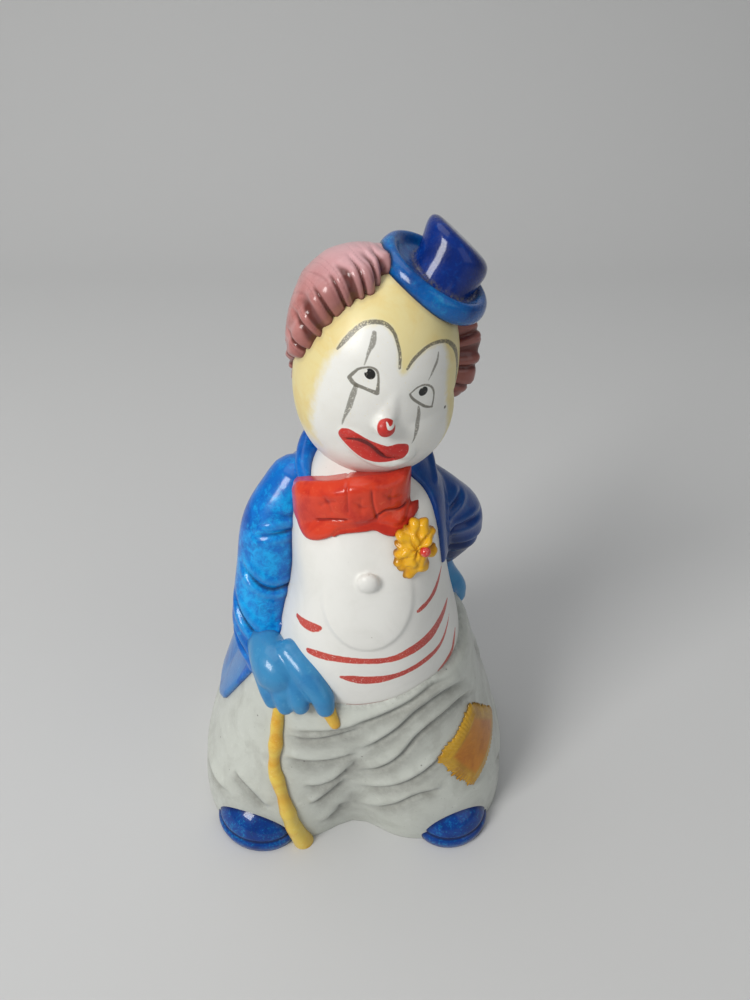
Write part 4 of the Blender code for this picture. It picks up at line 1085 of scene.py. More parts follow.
# Threads: capsules laid across a border wherever it has a point, along the direction kept with it
threads_tree, entry, leave = node_tree(
    "threads across a border",
    [
        ("Float", "Length"), ("Float", "Radius"), ("Float", "Unevenness"), ("Int", "Seed"),
        ("Material", "Material"),
    ],
)
way = part_of(threads_tree, "GeometryNodeInputNamedAttribute", {"Name": "across"}, data_type="FLOAT_VECTOR")
turned = part_of(
    threads_tree, "FunctionNodeAlignRotationToVector", {"Vector": way.outputs[0]}, axis="Z",
)
capsule = part_of(threads_tree, "GeometryNodeMeshUVSphere", {"Segments": 10, "Rings": 8, "Radius": 1.0})
high = part_of(
    threads_tree, "ShaderNodeMath", {0: 1.0, 1: entry.outputs["Unevenness"]}, operation="ADD",
)
low = part_of(
    threads_tree, "ShaderNodeMath", {0: 1.0, 1: entry.outputs["Unevenness"]}, operation="SUBTRACT",
)
uneven = part_of(
    threads_tree, "FunctionNodeRandomValue",
    {"Min": low.outputs[0], "Max": high.outputs[0], "Seed": entry.outputs["Seed"]}, data_type="FLOAT",
)
half = part_of(threads_tree, "ShaderNodeMath", {0: entry.outputs["Length"], 1: 0.5}, operation="MULTIPLY")
thread_length = part_of(
    threads_tree, "ShaderNodeMath", {0: half.outputs[0], 1: uneven.outputs[1]}, operation="MULTIPLY",
)
size = part_of(
    threads_tree, "ShaderNodeCombineXYZ",
    {0: entry.outputs["Radius"], 1: entry.outputs["Radius"], 2: thread_length.outputs[0]},
)
laid = part_of(
    threads_tree, "GeometryNodeInstanceOnPoints",
    {"Points": entry.outputs["Geometry"], "Instance": capsule.outputs[0], "Rotation": turned.outputs[0],
     "Scale": size.outputs[0]},
)
real = part_of(threads_tree, "GeometryNodeRealizeInstances", {"Geometry": laid.outputs[0]})
painted = part_of(
    threads_tree, "GeometryNodeSetMaterial", {
        "Geometry": real.outputs[0], "Material": entry.outputs["Material"],
    }
)
threads_tree.links.new(painted.outputs[0], leave.inputs[0])

patch_paint, tree, shader = finish("patch_paint", 0.3, 0.5, 0.08, 0.15)
# Threads stand a little in from the border, and each runs inwards to a smaller copy of it
THREAD_INSET = (0.92, 0.94)
THREAD_RUN = 0.8
ends = [(0.0, 0.0), (1.0, 0.0), (1.0, 1.0), (0.0, 1.0), (0.0, 0.0)]
knots, ways = [], []
for (s0, t0), (s1, t1) in zip(ends, ends[1:]):
    start, end = wrap(body, *patch_at(s0, t0)), wrap(body, *patch_at(s1, t1))
    count = max(2, round((end - start).length / THREAD_SPACING))
    for k in range(count):
        s, t = s0 + (s1 - s0) * (k + 0.5) / count, t0 + (t1 - t0) * (k + 0.5) / count
        s, t = 0.5 + (s - 0.5) * THREAD_INSET[0], 0.5 + (t - 0.5) * THREAD_INSET[1]
        here = wrap(body, *patch_at(s, t), PATCH_THICKNESS * 0.45)
        further = patch_at(0.5 + (s - 0.5) * THREAD_RUN, 0.5 + (t - 0.5) * THREAD_RUN)
        within = wrap(body, *further, PATCH_THICKNESS * 0.75)
        knots.append(here)
        ways.append(within - here)
border = bpy.data.meshes.new("border")
border.from_pydata([tuple(knot) for knot in knots], [], [])
across = border.attributes.new("across", "FLOAT_VECTOR", "POINT")
across.data.foreach_set("vector", np.array(ways, dtype=np.float32).ravel())
threads = grown(
    "threads", border, threads_tree,
    {
        "Length": THREAD_LENGTH, "Radius": THREAD_RADIUS, "Unevenness": 0.3, "Seed": 11,
        "Material": patch_paint,
    },
)
cushion = slab("cushion", patch_place, 60, 80)
patch = fuse("patch", [cushion, threads], 0.24, 2)
points = corners_of(patch)
border_reach = np.full(len(points), 99.0)
for knot in knots:
    border_reach = np.minimum(border_reach, np.linalg.norm(points - np.array(knot), axis=1))
mark(patch, "border", border_reach)
mark(patch, "shade_reach", reach(patch, cloth))
orange = placed(
    tree, dabbed, Colour=(0.54, 0.20, 0.006), Darker=(0.36, 0.11, 0.004), Lighter=(0.66, 0.33, 0.02),
    Grain=0.35,
)
ochre = placed(
    tree, dabbed, Colour=(0.52, 0.29, 0.02), Darker=(0.30, 0.12, 0.006), Lighter=(0.70, 0.47, 0.08),
    Grain=0.9, Seed=3.0,
)
middle = placed(tree, brushed, Depth=read(tree, "border"), Softness=0.6, Waver=1.2).outputs[0]
middle = steps(
    tree, sum_up(tree, "ADD", read(tree, "border"), sum_up(tree, "MULTIPLY", middle, 0.4)), 2.0, 3.2,
)
colour = over(tree, ochre.outputs[0], orange.outputs[0], middle)
# Painted shade where the patch meets the trousers
neighbour_shade = steps(tree, read(tree, "shade_reach"), 0.05, 0.7, 0.7, 0.0)
colour = over(tree, colour, (0.16, 0.10, 0.03), neighbour_shade)
glaze(tree, shader, colour, None, ripple=0.5, peel=0.35)
cast("patch", patch, patch_paint)


# The shoes
# Two round-toed shoes looking out from under the hem, each with a welt along its sole. Dark blue over light,
# dabbed on so that it speckles, under a shiny glaze.
SHOES = [
    ("right_shoe", (-25.0, -29, 1.5), (11.3, 9.0, 9.5), -25),
    ("left_shoe", (26.0, -28.3, 1.5), (10.0, 9.0, 9.5), 25),
]
WELT_HEIGHT = 3.4
WELT_DEPTH = 0.45
WELT_WIDTH = 0.55

shoe_forms = []
for name, centre, radii, toes in SHOES:
    shoe_forms.append(ellipsoid(name, centre, radii, Matrix.Rotation(math.radians(toes), 3, "Z")))
shoes = fuse("shoes", shoe_forms, 0.36, 4)
points = corners_of(shoes)
welt = -WELT_DEPTH * np.exp(-(((points[:, 2] - WELT_HEIGHT) / WELT_WIDTH) ** 2))
welt += WELT_DEPTH * 0.6 * np.exp(-(((points[:, 2] - WELT_HEIGHT + 1.6) / 1.2) ** 2))
raise_by(shoes, welt)
mark(shoes, "welt", welt)
mark(shoes, "shade_reach", reach(shoes, cloth))
shoe_paint, tree, shader = finish("blue_shoe_paint", 0.3, 0.6, 0.06, 0.1)
base = placed(
    tree, dabbed, Colour=(0.001, 0.045, 0.26), Darker=(0.001, 0.014, 0.12), Lighter=(0.01, 0.32, 0.64),
    Grain=1.3,
    Lightness=0.06,
)
# Painted shade where the trousers hang over the shoes
neighbour_shade = steps(tree, read(tree, "shade_reach"), 0.0, 0.9, 0.85, 0.0)
colour = over(tree, base.outputs[0], (0.004, 0.012, 0.08), neighbour_shade)
# Painted shade down in the welt's groove
welt_shade = steps(tree, read(tree, "welt"), -0.08, -0.4, 0.0, 0.9)
colour = over(tree, colour, (0.003, 0.010, 0.07), welt_shade)
glaze(tree, shader, colour, None, ripple=0.5, peel=0.3)
cast("shoes", shoes, shoe_paint, bottom=True)


# The head
# A round white face with full lips and a small nose, turned up and leaning to one side. White and cream
# yellow are airbrushed on under the glaze, and the features are drawn over them with a fine brush.
HEAD_CENTRE = Vector((6.0, -5.0, 121.2))
HEAD_RADII = (16.6, 16.8, 22.2)
HEAD_TURN = Matrix.Rotation(math.radians(15), 3, "Y") @ Matrix.Rotation(math.radians(13), 3, "Z")
HEAD_TURN = HEAD_TURN @ Matrix.Rotation(math.radians(-4), 3, "X")
JAW_CENTRE = (6.4, -6.0, 114.2)
JAW_RADII = (16.0, 15.2, 15.4)
UPPER_LIP = [
    (-7.6, -8.6, 1.1), (-5.2, -8.6, 1.5), (-2.0, -9.4, 1.3),
    (1.5, -10.4, 1.3), (5.0, -10.8, 1.5), (6.6, -10.8, 1.3),
]
LOWER_LIP = [
    (-7.4, -9.6, 0.9), (-4.6, -11.6, 1.2), (-1.0, -13.2, 1.4),
    (2.6, -13.6, 1.5), (5.6, -12.4, 1.4), (6.8, -11.2, 1.1),
]
LIP_LIFT = -0.5
NOSE = (-1.1, -4.4)
NOSE_RADII = (2.1, 2.0, 2.0)
NOSE_LIFT = 1.0
BRIDGE = [(-0.6, 1.5, 2.4), (-1.0, -3.4, 3.2)]
BRIDGE_LIFT = -2.2
# What is painted is measured square to the face: right, up and, for a stroke, its half width
BROWS = [
    [(-11.8, 6.7, 0.12), (-11.0, 8.3, 0.3), (-9.8, 10.4, 0.36), (-8.3, 12.3, 0.32), (-6.6, 13.2, 0.34),
     (-4.8, 13.5, 0.36), (-3.1, 12.6, 0.34), (-2.1, 11.0, 0.3), (-1.3, 9.0, 0.3), (-1.0, 6.9, 0.22)],
    [(0.5, 6.9, 0.25), (1.3, 8.5, 0.32), (2.5, 9.9, 0.34), (4.2, 11.2, 0.3), (6.2, 11.8, 0.3),
     (8.5, 11.7, 0.34), (10.9, 10.4, 0.44), (12.4, 8.4, 0.46), (13.4, 6.0, 0.36), (14.0, 3.2, 0.2)],
]
TEARS = [
    [(-6.3, 11.6, 0.38), (-6.4, 9.9, 0.5), (-6.8, 8.3, 0.26), (-7.2, 5.9, 0.08)],
    [(6.6, 10.1, 0.1), (6.6, 8.6, 0.28), (6.1, 7.0, 0.26), (5.5, 5.1, 0.07)],
    [(-7.9, 1.8, 0.4), (-8.0, -0.4, 0.52), (-8.1, -2.8, 0.46), (-8.3, -4.9, 0.28), (-8.3, -6.9, 0.07)],
    [(4.9, -0.2, 0.22), (5.5, -2.2, 0.42), (5.9, -4.9, 0.42), (6.0, -6.8, 0.22), (5.8, -8.2, 0.07)],
]
EYELIDS = [
    [(-9.3, 2.9, 0.3), (-8.6, 4.1, 0.26), (-7.9, 5.0, 0.2), (-6.2, 5.8, 0.18), (-4.9, 5.5, 0.24),
     (-4.3, 3.9, 0.24), (-4.0, 1.5, 0.38)],
    [(-9.2, 2.8, 0.4), (-8.2, 2.0, 0.4), (-6.3, 1.75, 0.3), (-4.1, 1.5, 0.42)],
    [(2.2, 2.3, 0.16), (3.6, 3.7, 0.18), (5.0, 4.2, 0.2), (6.6, 3.8, 0.22), (7.6, 2.7, 0.2),
     (8.0, 1.4, 0.16), (8.1, -0.4, 0.2)],
    [(2.3, 2.2, 0.2), (3.0, 1.5, 0.26), (4.4, 0.7, 0.28), (6.4, -0.2, 0.28), (8.2, -0.5, 0.2)],
]
PUPILS = [(-6.0, 4.6, 1.0), (5.1, 2.9, 0.98)]
GLINTS = [(-6.9, 5.0, 0.38), (4.6, 3.6, 0.14)]
MOUTH = [
    (-8.4, -9.1), (-8.2, -7.8), (-7.0, -7.3), (-5.7, -7.5), (-3.6, -8.2), (-1.3, -8.8), (1.0, -9.1),
    (3.0, -8.4),
    (4.9, -8.4), (5.5, -9.6), (4.8, -11.1), (3.5, -12.4), (1.4, -13.1), (-0.8, -13.3), (-2.9, -13.0),
    (-4.8, -12.1), (-6.4, -11.1), (-7.7, -10.1),
]
MOUTH_LINE = [
    (-6.7, -9.8, 0.2), (-5.4, -9.2, 0.45), (-3.8, -9.1, 0.55), (-2.0, -9.9, 0.5), (0.0, -11.4, 0.42),
    (1.7, -12.2, 0.16), (3.2, -12.0, 0.1),
]
NOSE_SPOT = (-1.2, -4.3, 1.8)
# The white crescent left in the red nose is a painted highlight
NOSE_HIGHLIGHT = [(-1.5, -3.1, 0.15), (-1.0, -3.9, 0.32), (-0.2, -3.6, 0.3), (0.1, -2.9, 0.2)]
FRECKLE = (12.1, -1.4, 0.28)
# The white mask's outline, under the brows and down both cheeks
MASK = [
    (-11.8, 6.4), (-10.9, 8.4), (-9.7, 10.4), (-8.2, 12.2), (-6.6, 13.1), (-4.8, 13.3), (-3.2, 12.4),
    (-2.2, 10.8),
    (-1.4, 8.8), (-0.8, 6.3), (0.2, 6.2), (1.4, 8.4), (2.6, 9.8), (4.3, 11.0), (6.2, 11.5), (8.0, 11.2),
    (9.4, 8.3), (10.2, 5.0), (11.4, 1.6), (13.4, -3.0), (14.5, -9.0), (12.0, -16.0), (8.0, -30.0),
    (-6.0, -30.0),
    (-9.4, -16.6), (-11.2, -13.1), (-12.7, -10.2), (-13.4, -6.3), (-13.6, -2.7), (-13.4, 1.3), (-12.6, 4.8),
]


def on_head(x, y, z):
    """A point given in the head's own directions, from its centre: right, back and up."""
    return HEAD_CENTRE + HEAD_TURN @ Vector((x, y, z))


def on_face(tree, x, z, lift=0.0):
    """The point of the head's skin square ahead of x and z on the face, lifted off it."""
    ahead = HEAD_TURN @ Vector((0, -1, 0))
    hit, normal, _, _ = tree.ray_cast(on_head(x, 0, z) + ahead * 60, -ahead)
    return hit + normal * lift


def facing(points):
    """Points in the head's own directions, from its centre."""
    return (points - np.array(HEAD_CENTRE)) @ np.array(HEAD_TURN)


def inside_outline(points, outline):
    """How deep points lie inside a closed outline, and below zero outside it."""
    closed = [outline[-1], *outline, *outline[:2]]
    path = smooth_path(closed, 10 * (len(outline) + 2) + 1)[10:-10]
    distance = np.full(len(points), np.inf)
    crossings = np.zeros(len(points), int)
    for (ax, ay), (bx, by) in zip(path, path[1:]):
        step = np.array((bx - ax, by - ay))
        t = np.clip(((points - (ax, ay)) @ step) / max(step @ step, 1e-9), 0, 1)
        distance = np.minimum(distance, np.linalg.norm(points - (ax, ay) - t[:, None] * step, axis=1))
        crosses = (ay > points[:, 1]) != (by > points[:, 1])
        at = ax + (points[:, 1] - ay) * (bx - ax) / (by - ay if by != ay else 1e-9)
        crossings += crosses & (points[:, 0] < at)
    return np.where(crossings % 2 == 1, distance, -distance)


skull = [
    ellipsoid("skull", HEAD_CENTRE, HEAD_RADII, HEAD_TURN, 128),
    ellipsoid("jaw", JAW_CENTRE, JAW_RADII, segments=128),
]
skull_skin = surface(*skull)
features = []
for name, line in (("upper_lip", UPPER_LIP), ("lower_lip", LOWER_LIP)):
    features.append(
        limb(name, [(*on_face(skull_skin, x, z, LIP_LIFT), radius) for x, z, radius in line], 48, 32),
    )
features.append(ellipsoid("nose", on_face(skull_skin, *NOSE, NOSE_LIFT), NOSE_RADII, HEAD_TURN))
bridge = [(*on_face(skull_skin, x, z, BRIDGE_LIFT), radius) for x, z, radius in BRIDGE]
features.append(limb("bridge", bridge, 24, 32))
head = fuse("head", skull + features, 0.42, 8)

# The face is drawn finely, so its points are closer together
work = bmesh.new()
work.from_mesh(head)
turned_points = facing(np.array([vertex.co for vertex in work.verts]))
drawn = (turned_points[:, 1] < 2) & (np.abs(turned_points[:, 0]) < 15) & (np.abs(turned_points[:, 2]) < 16)
edges = [edge for edge in work.edges if drawn[edge.verts[0].index] and drawn[edge.verts[1].index]]
bmesh.ops.subdivide_edges(work, edges=edges, cuts=1, use_grid_fill=True)
work.to_mesh(head)
work.free()

seen = facing(corners_of(head))
flat = seen[:, (0, 2)]
ahead = seen[:, 1] < 3
EYE_SOCKETS = ((-6.4, 3.4), (5.2, 2.0))
SOCKET_RADII = (3.4, 2.4)
SOCKET_DEPTH = 0.35
socket_depth = np.zeros(len(flat))
for x, z in EYE_SOCKETS:
    off_x, off_z = (flat[:, 0] - x) / SOCKET_RADII[0], (flat[:, 1] - z) / SOCKET_RADII[1]
    socket_depth -= SOCKET_DEPTH * np.exp(-(off_x ** 2 + off_z ** 2))
line_depth = stroke_depth(flat, MOUTH_LINE)
socket_depth -= 0.45 * np.exp(-((np.maximum(0, 0.3 - line_depth) / 0.45) ** 2))
raise_by(head, np.where(ahead, socket_depth, 0))


def strokes(points, lines):
    return np.max([stroke_depth(points, line) for line in lines], axis=0)


def discs(points, spots):
    return np.max([r - np.hypot(points[:, 0] - x, points[:, 1] - z) for x, z, r in spots], axis=0)


for name, depth in (
    ("mask", inside_outline(flat, MASK)),
    ("brows", strokes(flat, BROWS)),
    ("tears", strokes(flat, TEARS)),
    ("lids", strokes(flat, EYELIDS)),
    ("pupils", np.minimum(discs(flat, PUPILS), -discs(flat, GLINTS))),
    ("mouth", inside_outline(flat, MOUTH)),
    ("mouth_line", line_depth),
    ("nose", np.minimum(discs(flat, [NOSE_SPOT]), -stroke_depth(flat, NOSE_HIGHLIGHT))),
    ("freckle", discs(flat, [FRECKLE])),
):
    mark(head, name, np.where(ahead, depth, -5.0))
mark(head, "under_chin", np.clip((-12 - seen[:, 2]) / 4, 0, 1))

face_paint, tree, shader = finish("painted_face_glaze", 0.42, 0.12, 0.2)
white = placed(
    tree, dabbed, Colour=(0.81, 0.81, 0.77), Darker=(0.77, 0.76, 0.71), Lighter=(0.83, 0.83, 0.80),
    Grain=0.12,
)
cream = placed(
    tree, dabbed, Colour=(0.80, 0.69, 0.335), Darker=(0.78, 0.60, 0.22), Lighter=(0.82, 0.76, 0.52),
    Grain=0.14, Seed=5.0,
)
airbrush = placed(tree, brushed, Depth=read(tree, "mask"), Softness=0.9, Waver=1.4).outputs[0]
airbrush = sum_up(tree, "MAXIMUM", airbrush, read(tree, "under_chin"))
colour = over(tree, cream.outputs[0], white.outputs[0], airbrush)
INK = (0.115, 0.105, 0.075)
for name, softness, waver, dryness, strength in (
    ("brows", 0.08, 0.24, 0.12, 0.9),
    ("tears", 0.1, 0.3, 0.1, 0.75),
    ("lids", 0.08, 0.2, 0.06, 0.85),
):
    ink = placed(tree, brushed, Depth=read(tree, name), Softness=softness, Waver=waver, Dryness=dryness).outputs[0]
    colour = over(tree, colour, INK, sum_up(tree, "MULTIPLY", ink, strength))
ink = placed(tree, brushed, Depth=read(tree, "pupils"), Softness=0.06, Waver=0.08).outputs[0]
colour = over(tree, colour, (0.006, 0.006, 0.006), ink)
red = placed(
    tree, dabbed, Colour=(0.60, 0.028, 0.018), Darker=(0.42, 0.012, 0.010), Lighter=(0.68, 0.075, 0.045),
    Grain=0.6,
)
lips = placed(tree, brushed, Depth=read(tree, "mouth"), Softness=0.07, Waver=0.2).outputs[0]
colour = over(tree, colour, red.outputs[0], lips)
nose = placed(tree, brushed, Depth=read(tree, "nose"), Softness=0.06, Waver=0.2).outputs[0]
colour = over(tree, colour, red.outputs[0], nose)
line = placed(tree, brushed, Depth=read(tree, "mouth_line"), Softness=0.14, Waver=0.2).outputs[0]
colour = over(tree, colour, (0.10, 0.004, 0.005), sum_up(tree, "MULTIPLY", line, 0.92))
ink = placed(tree, brushed, Depth=read(tree, "freckle"), Softness=0.12, Waver=0.25).outputs[0]
colour = over(tree, colour, (0.06, 0.05, 0.04), ink)
# Painted shade under the hat and the hair and against the collar
neighbour_shade = steps(tree, read(tree, "shade_reach"), 0.0, 1.1, 0.4, 0.0)
colour = over(tree, colour, (0.42, 0.33, 0.2), neighbour_shade)
glaze(tree, shader, colour, None, ripple=0.35, peel=0.08)


# The hair
# Hair combed back from a rolled front edge, with a lock to each groove. Mauve pink, lighter on top and
# darker at the front edge, glossy, with painted shade in the grooves and on the clown's left side.
# Angle round the head from its top (below zero is the clown's right), where the hair starts measured from the
# middle of the face, and its thickness there
HAIR = [
    (-180, 128, 2.4), (-150, 124, 2.4), (-122, 118, 2.2), (-106, 112, 1.6), (-95, 99, 1.8), (-86, 76, 2.6),
    (-72, 67, 4.0), (-55, 64, 5.6), (-40, 61.5, 5.4), (-27, 60.5, 4.2), (-14, 72, 2.8), (10, 86, 2.6),
    (34, 90, 3.2), (55, 88, 5.2), (72, 84, 6.6), (90, 82, 6.0), (104, 88, 3.6), (116, 102, 2.4),
    (135, 116, 2.4), (160, 124, 2.4), (190, 128, 2.4),
]
HAIR_ROOT = -1.5
HAIR_LOW = 0.27
GROOVE_SPACING = 2.5
GROOVE_DEPTH = 0.7
GROOVE_LENGTH = 8.5
FINE_SPACING = 1.25
FINE_DEPTH = 0.13
FINE_LENGTH = 26.0

hair_angles, hair_starts, hair_depths = zip(*HAIR)


def on_hair(angle, opening, lift):
    """A point above the skull at an angle round it and an opening angle from the face's middle."""
    turn, away = math.radians(angle), math.radians(opening)
    way = Vector((math.sin(away) * math.sin(turn), -math.cos(away), math.sin(away) * math.cos(turn)))
    return on_head(*(way[i] * (HEAD_RADII[i] + lift) for i in range(3)))


def hair_place(s, t, side):
    angle = -180 + 370 * s
    start = float(np.interp(angle, hair_angles, hair_starts))
    thickness = float(np.interp(angle, hair_angles, hair_depths))
    opening = start + (179.7 - start) * t
    if side == 0:
        return on_hair(angle, opening, HAIR_ROOT)
    roll = min(t / 0.10, 1.0)
    return on_hair(angle, opening, thickness * math.sqrt(1 - (1 - roll) ** 2) - HAIR_LOW)


hair = fuse("hair", [slab("hair_form", hair_place, 360, 90)], 0.33, 4)
points = facing(corners_of(hair))
way = points / np.array(HEAD_RADII)
way /= np.linalg.norm(way, axis=1)[:, None]
round_head = np.degrees(np.arctan2(way[:, 0], way[:, 2]))
opened = np.degrees(np.arccos(np.clip(-way[:, 1], -1, 1)))
wrapped = np.where(round_head < -180, round_head + 360, round_head)
from_edge = np.radians(opened - np.interp(wrapped, hair_angles, hair_starts)) * HEAD_RADII[2]
GROOVE_WIDTH = 0.48
FINE_WIDTH = 0.2
LOCK_ROUND = 0.18
ROLL_AT = 6.0
ROLL_WIDTH = 2.2
ROLL_DEPTH = 0.3
mean_radius = 18.5
comb = np.radians(wrapped) * mean_radius
swept = comb + 0.9 * np.sin(from_edge * 0.21 + comb * 0.13) + 0.35 * np.sin(comb * 1.7)
across_lock = np.abs((swept / GROOVE_SPACING) % 1.0 - 0.5) * GROOVE_SPACING
lock = np.floor(swept / GROOVE_SPACING)
length = GROOVE_LENGTH * (0.65 + 0.5 * np.abs(np.sin(lock * 12.9898)))
reach_back = np.clip(1 - np.maximum(from_edge, 0) / length, 0, 1) ** 0.7
grooves = np.exp(-((across_lock / GROOVE_WIDTH) ** 2)) * reach_back
fine_across = np.abs(((swept + 0.3) / FINE_SPACING) % 1.0 - 0.5) * FINE_SPACING
fine_lock = np.floor((swept + 0.3) / FINE_SPACING)
fine_keep = np.abs(np.sin(fine_lock * 78.233)) > 0.35
fine_length = FINE_LENGTH * (0.4 + 0.6 * np.abs(np.sin(fine_lock * 39.425)))
fine_fade = np.clip(1 - from_edge / fine_length, 0, 1) ** 0.5
fine = np.exp(-((fine_across / FINE_WIDTH) ** 2)) * fine_fade * fine_keep
roll_back = np.exp(-(((from_edge - ROLL_AT) / ROLL_WIDTH) ** 2))
rounded = LOCK_ROUND * (np.clip(across_lock / (GROOVE_SPACING / 2), 0, 1) - 0.5) * reach_back
raise_by(hair, rounded - GROOVE_DEPTH * grooves - FINE_DEPTH * fine - ROLL_DEPTH * roll_back)
mark(hair, "grooves", grooves)
mark(hair, "fine", fine)
mark(hair, "rim", np.clip(1 - from_edge / 7.0, 0, 1))
mark(hair, "crown", np.clip(way[:, 2], 0, 1))
# Where the painted shade on the clown's left side falls
mark(hair, "shaded_own_left", np.clip((way[:, 0] - 0.3) / 0.4, 0, 1))
mark(hair, "shade_reach", reach(hair, surface(head)))

hair_paint, tree, shader = finish("mauve_hair_paint", 0.3, 0.45, 0.1, 0.25)
base = placed(
    tree, dabbed, Colour=(0.57, 0.24, 0.225), Darker=(0.38, 0.12, 0.105), Lighter=(0.70, 0.42, 0.41),
    Grain=0.7,
)
# Lighter towards the top of the head
top = steps(tree, read(tree, "crown"), 0.35, 0.9, 0.0, 0.7)
colour = over(tree, base.outputs[0], (0.76, 0.48, 0.52), top)
# Darker towards the hair's front edge
darker_at_front_edge = steps(tree, read(tree, "rim"), 0.2, 1.0, 0.0, 0.6)
colour = over(tree, colour, (0.28, 0.085, 0.065), darker_at_front_edge)
# Painted shade on the clown's left side
colour = over(tree, colour, (0.24, 0.075, 0.055), sum_up(tree, "MULTIPLY", read(tree, "shaded_own_left"), 0.6))
# Painted shade down in the grooves
deep = steps(tree, read(tree, "grooves"), 0.12, 0.62, 0.0, 0.88)
colour = over(tree, colour, (0.10, 0.018, 0.012), deep)
# Painted shade in the fine combed lines
fine_groove_shade = steps(tree, read(tree, "fine"), 0.3, 0.9, 0.0, 0.35)
colour = over(tree, colour, (0.26, 0.09, 0.09), fine_groove_shade)
# Painted shade where the hair meets the face
neighbour_shade = steps(tree, read(tree, "shade_reach"), 0.0, 0.7, 0.75, 0.0)
colour = over(tree, colour, (0.13, 0.035, 0.025), neighbour_shade)
glaze(tree, shader, colour, None, ripple=0.45, peel=0.3, grit=0.1)


# The hat
# A small top hat tipped to one side of the head, with a thick rolled brim. Dark blue glaze over black,
# glossy, with grime in the crease where the crown meets the brim.
HAT_TURN = Matrix.Rotation(math.radians(32), 3, "Y") @ Matrix.Rotation(math.radians(7), 3, "X")
HAT_CENTRE = Vector((17.1, -1.7, 138.4))
CROWN_TURN = Matrix.Rotation(math.radians(42), 3, "Y") @ Matrix.Rotation(math.radians(-6), 3, "X")
CROWN_BASE = Vector((18.9, -1.2, 138.0))
CROWN_LEAN = Vector((0.447, 0.369, 0.815))
CROWN_HEIGHT = 8.95
BRIM_PROFILE = [
    (8.0, -2.6), (11.0, -1.8), (12.1, -0.6), (12.15, 0.9), (11.6, 2.2),
    (10.7, 2.8), (9.8, 2.5), (8.9, 1.7), (8.1, 1.4), (5.0, 1.3),
]
CROWN_PROFILE = [
    (7.0, -0.3), (7.05, 0.15), (7.4, 0.45), (7.75, 0.72), (7.55, 0.86), (6.9, 0.95), (5.6, 1.0),
    (3.0, 1.01),
]
HAT_SIDES = 180
TUCKED_AT = 0.5

hat_up = HAT_TURN @ Vector((0, 0, 1))


def hat_ring(centre, radius, turned):
    turns = np.linspace(0, 2 * math.pi, HAT_SIDES, endpoint=False)
    return [centre + turned @ Vector((math.cos(t), math.sin(t), 0)) * radius for t in turns]


brim_rows = smooth_path(BRIM_PROFILE, 50)
brim_rings = [hat_ring(HAT_CENTRE + hat_up * rise, radius, HAT_TURN) for radius, rise in brim_rows]
brim = skin("brim", np.array(brim_rings))
crown_rings = []
for radius, share in smooth_path(CROWN_PROFILE, 60):
    crown_rings.append(hat_ring(CROWN_BASE + CROWN_LEAN * CROWN_HEIGHT * share, radius, CROWN_TURN))
crown = skin("crown", np.array(crown_rings))
hat = fuse("hat", [brim, crown], 0.26, 3)


def tuck_under(mesh):
    """Lowers what would come through the brim until it lies inside it."""
    placed_in = (corners_of(mesh) - np.array(HAT_CENTRE)) @ np.array(HAT_TURN)
    covered = np.hypot(placed_in[:, 0], placed_in[:, 1]) < BRIM_PROFILE[2][0] - 0.5
    placed_in[:, 2] = np.where(covered, np.minimum(placed_in[:, 2], TUCKED_AT), placed_in[:, 2])
    moved = placed_in @ np.array(HAT_TURN).T + np.array(HAT_CENTRE)
    mesh.vertices.foreach_set("co", moved.astype(np.float32).ravel())
    mesh.update()


tuck_under(head)
tuck_under(hair)
points = corners_of(hat)
to_brim = reach(hat, surface(brim))
to_crown = reach(hat, surface(crown))
mark(hat, "seam", np.maximum(to_brim, to_crown))
mark(hat, "brim", np.clip((to_crown - 0.3) / 1.2, 0, 1))
from_face = facing(points)
mark(hat, "low_side", np.clip((8 - from_face[:, 0]) / 8, 0, 1))
mark(hat, "shade_reach", reach(hat, surface(hair), surface(head)))
hat_paint, tree, shader = finish("dark_blue_hat_paint", 0.3, 0.6, 0.11, 0.1)
base = placed(
    tree, dabbed, Colour=(0.001, 0.024, 0.20), Darker=(0.001, 0.010, 0.10), Lighter=(0.002, 0.08, 0.40),
    Grain=0.8, Lightness=0.03,
)
dust = fine_noise(tree, 900.0, 5.0, 0.8)
grimy = sum_up(
    tree, "MULTIPLY", steps(tree, read(tree, "seam"), 0.2, 1.1, 0.75, 0.0), steps(tree, dust, 0.42, 0.62),
)
thin = placed(
    tree, dabbed, Colour=(0.002, 0.12, 0.42), Darker=(0.001, 0.035, 0.20), Lighter=(0.01, 0.36, 0.68),
    Grain=0.45,
    Lightness=0.03, Seed=4.0,
)
colour = over(tree, base.outputs[0], thin.outputs[0], sum_up(tree, "MULTIPLY", read(tree, "brim"), 0.9))
colour = over(tree, colour, (0.17, 0.155, 0.12), grimy)
film = sum_up(tree, "MULTIPLY", read(tree, "low_side"), steps(tree, dust, 0.5, 0.72, 0.0, 0.2))
colour = over(tree, colour, (0.15, 0.14, 0.14), film)
# Painted shade where the hat sits on the hair and the head
neighbour_shade = steps(tree, read(tree, "shade_reach"), 0.0, 0.8, 0.8, 0.0)
colour = over(tree, colour, (0.004, 0.004, 0.006), neighbour_shade)
polish = steps(tree, dust, 0.35, 0.75, 0.16, 0.42)
glaze(tree, shader, colour, polish, ripple=0.6, peel=0.5, grit=0.45)

hat_skin = surface(hat)
hair_skin = surface(hair)
mark(head, "shade_reach", reach(head, hat_skin, hair_skin, surface(coat_body, collar)))
cast("head", head, face_paint)
cast("hair", hair, hair_paint)
cast("hat", hat, hat_paint)


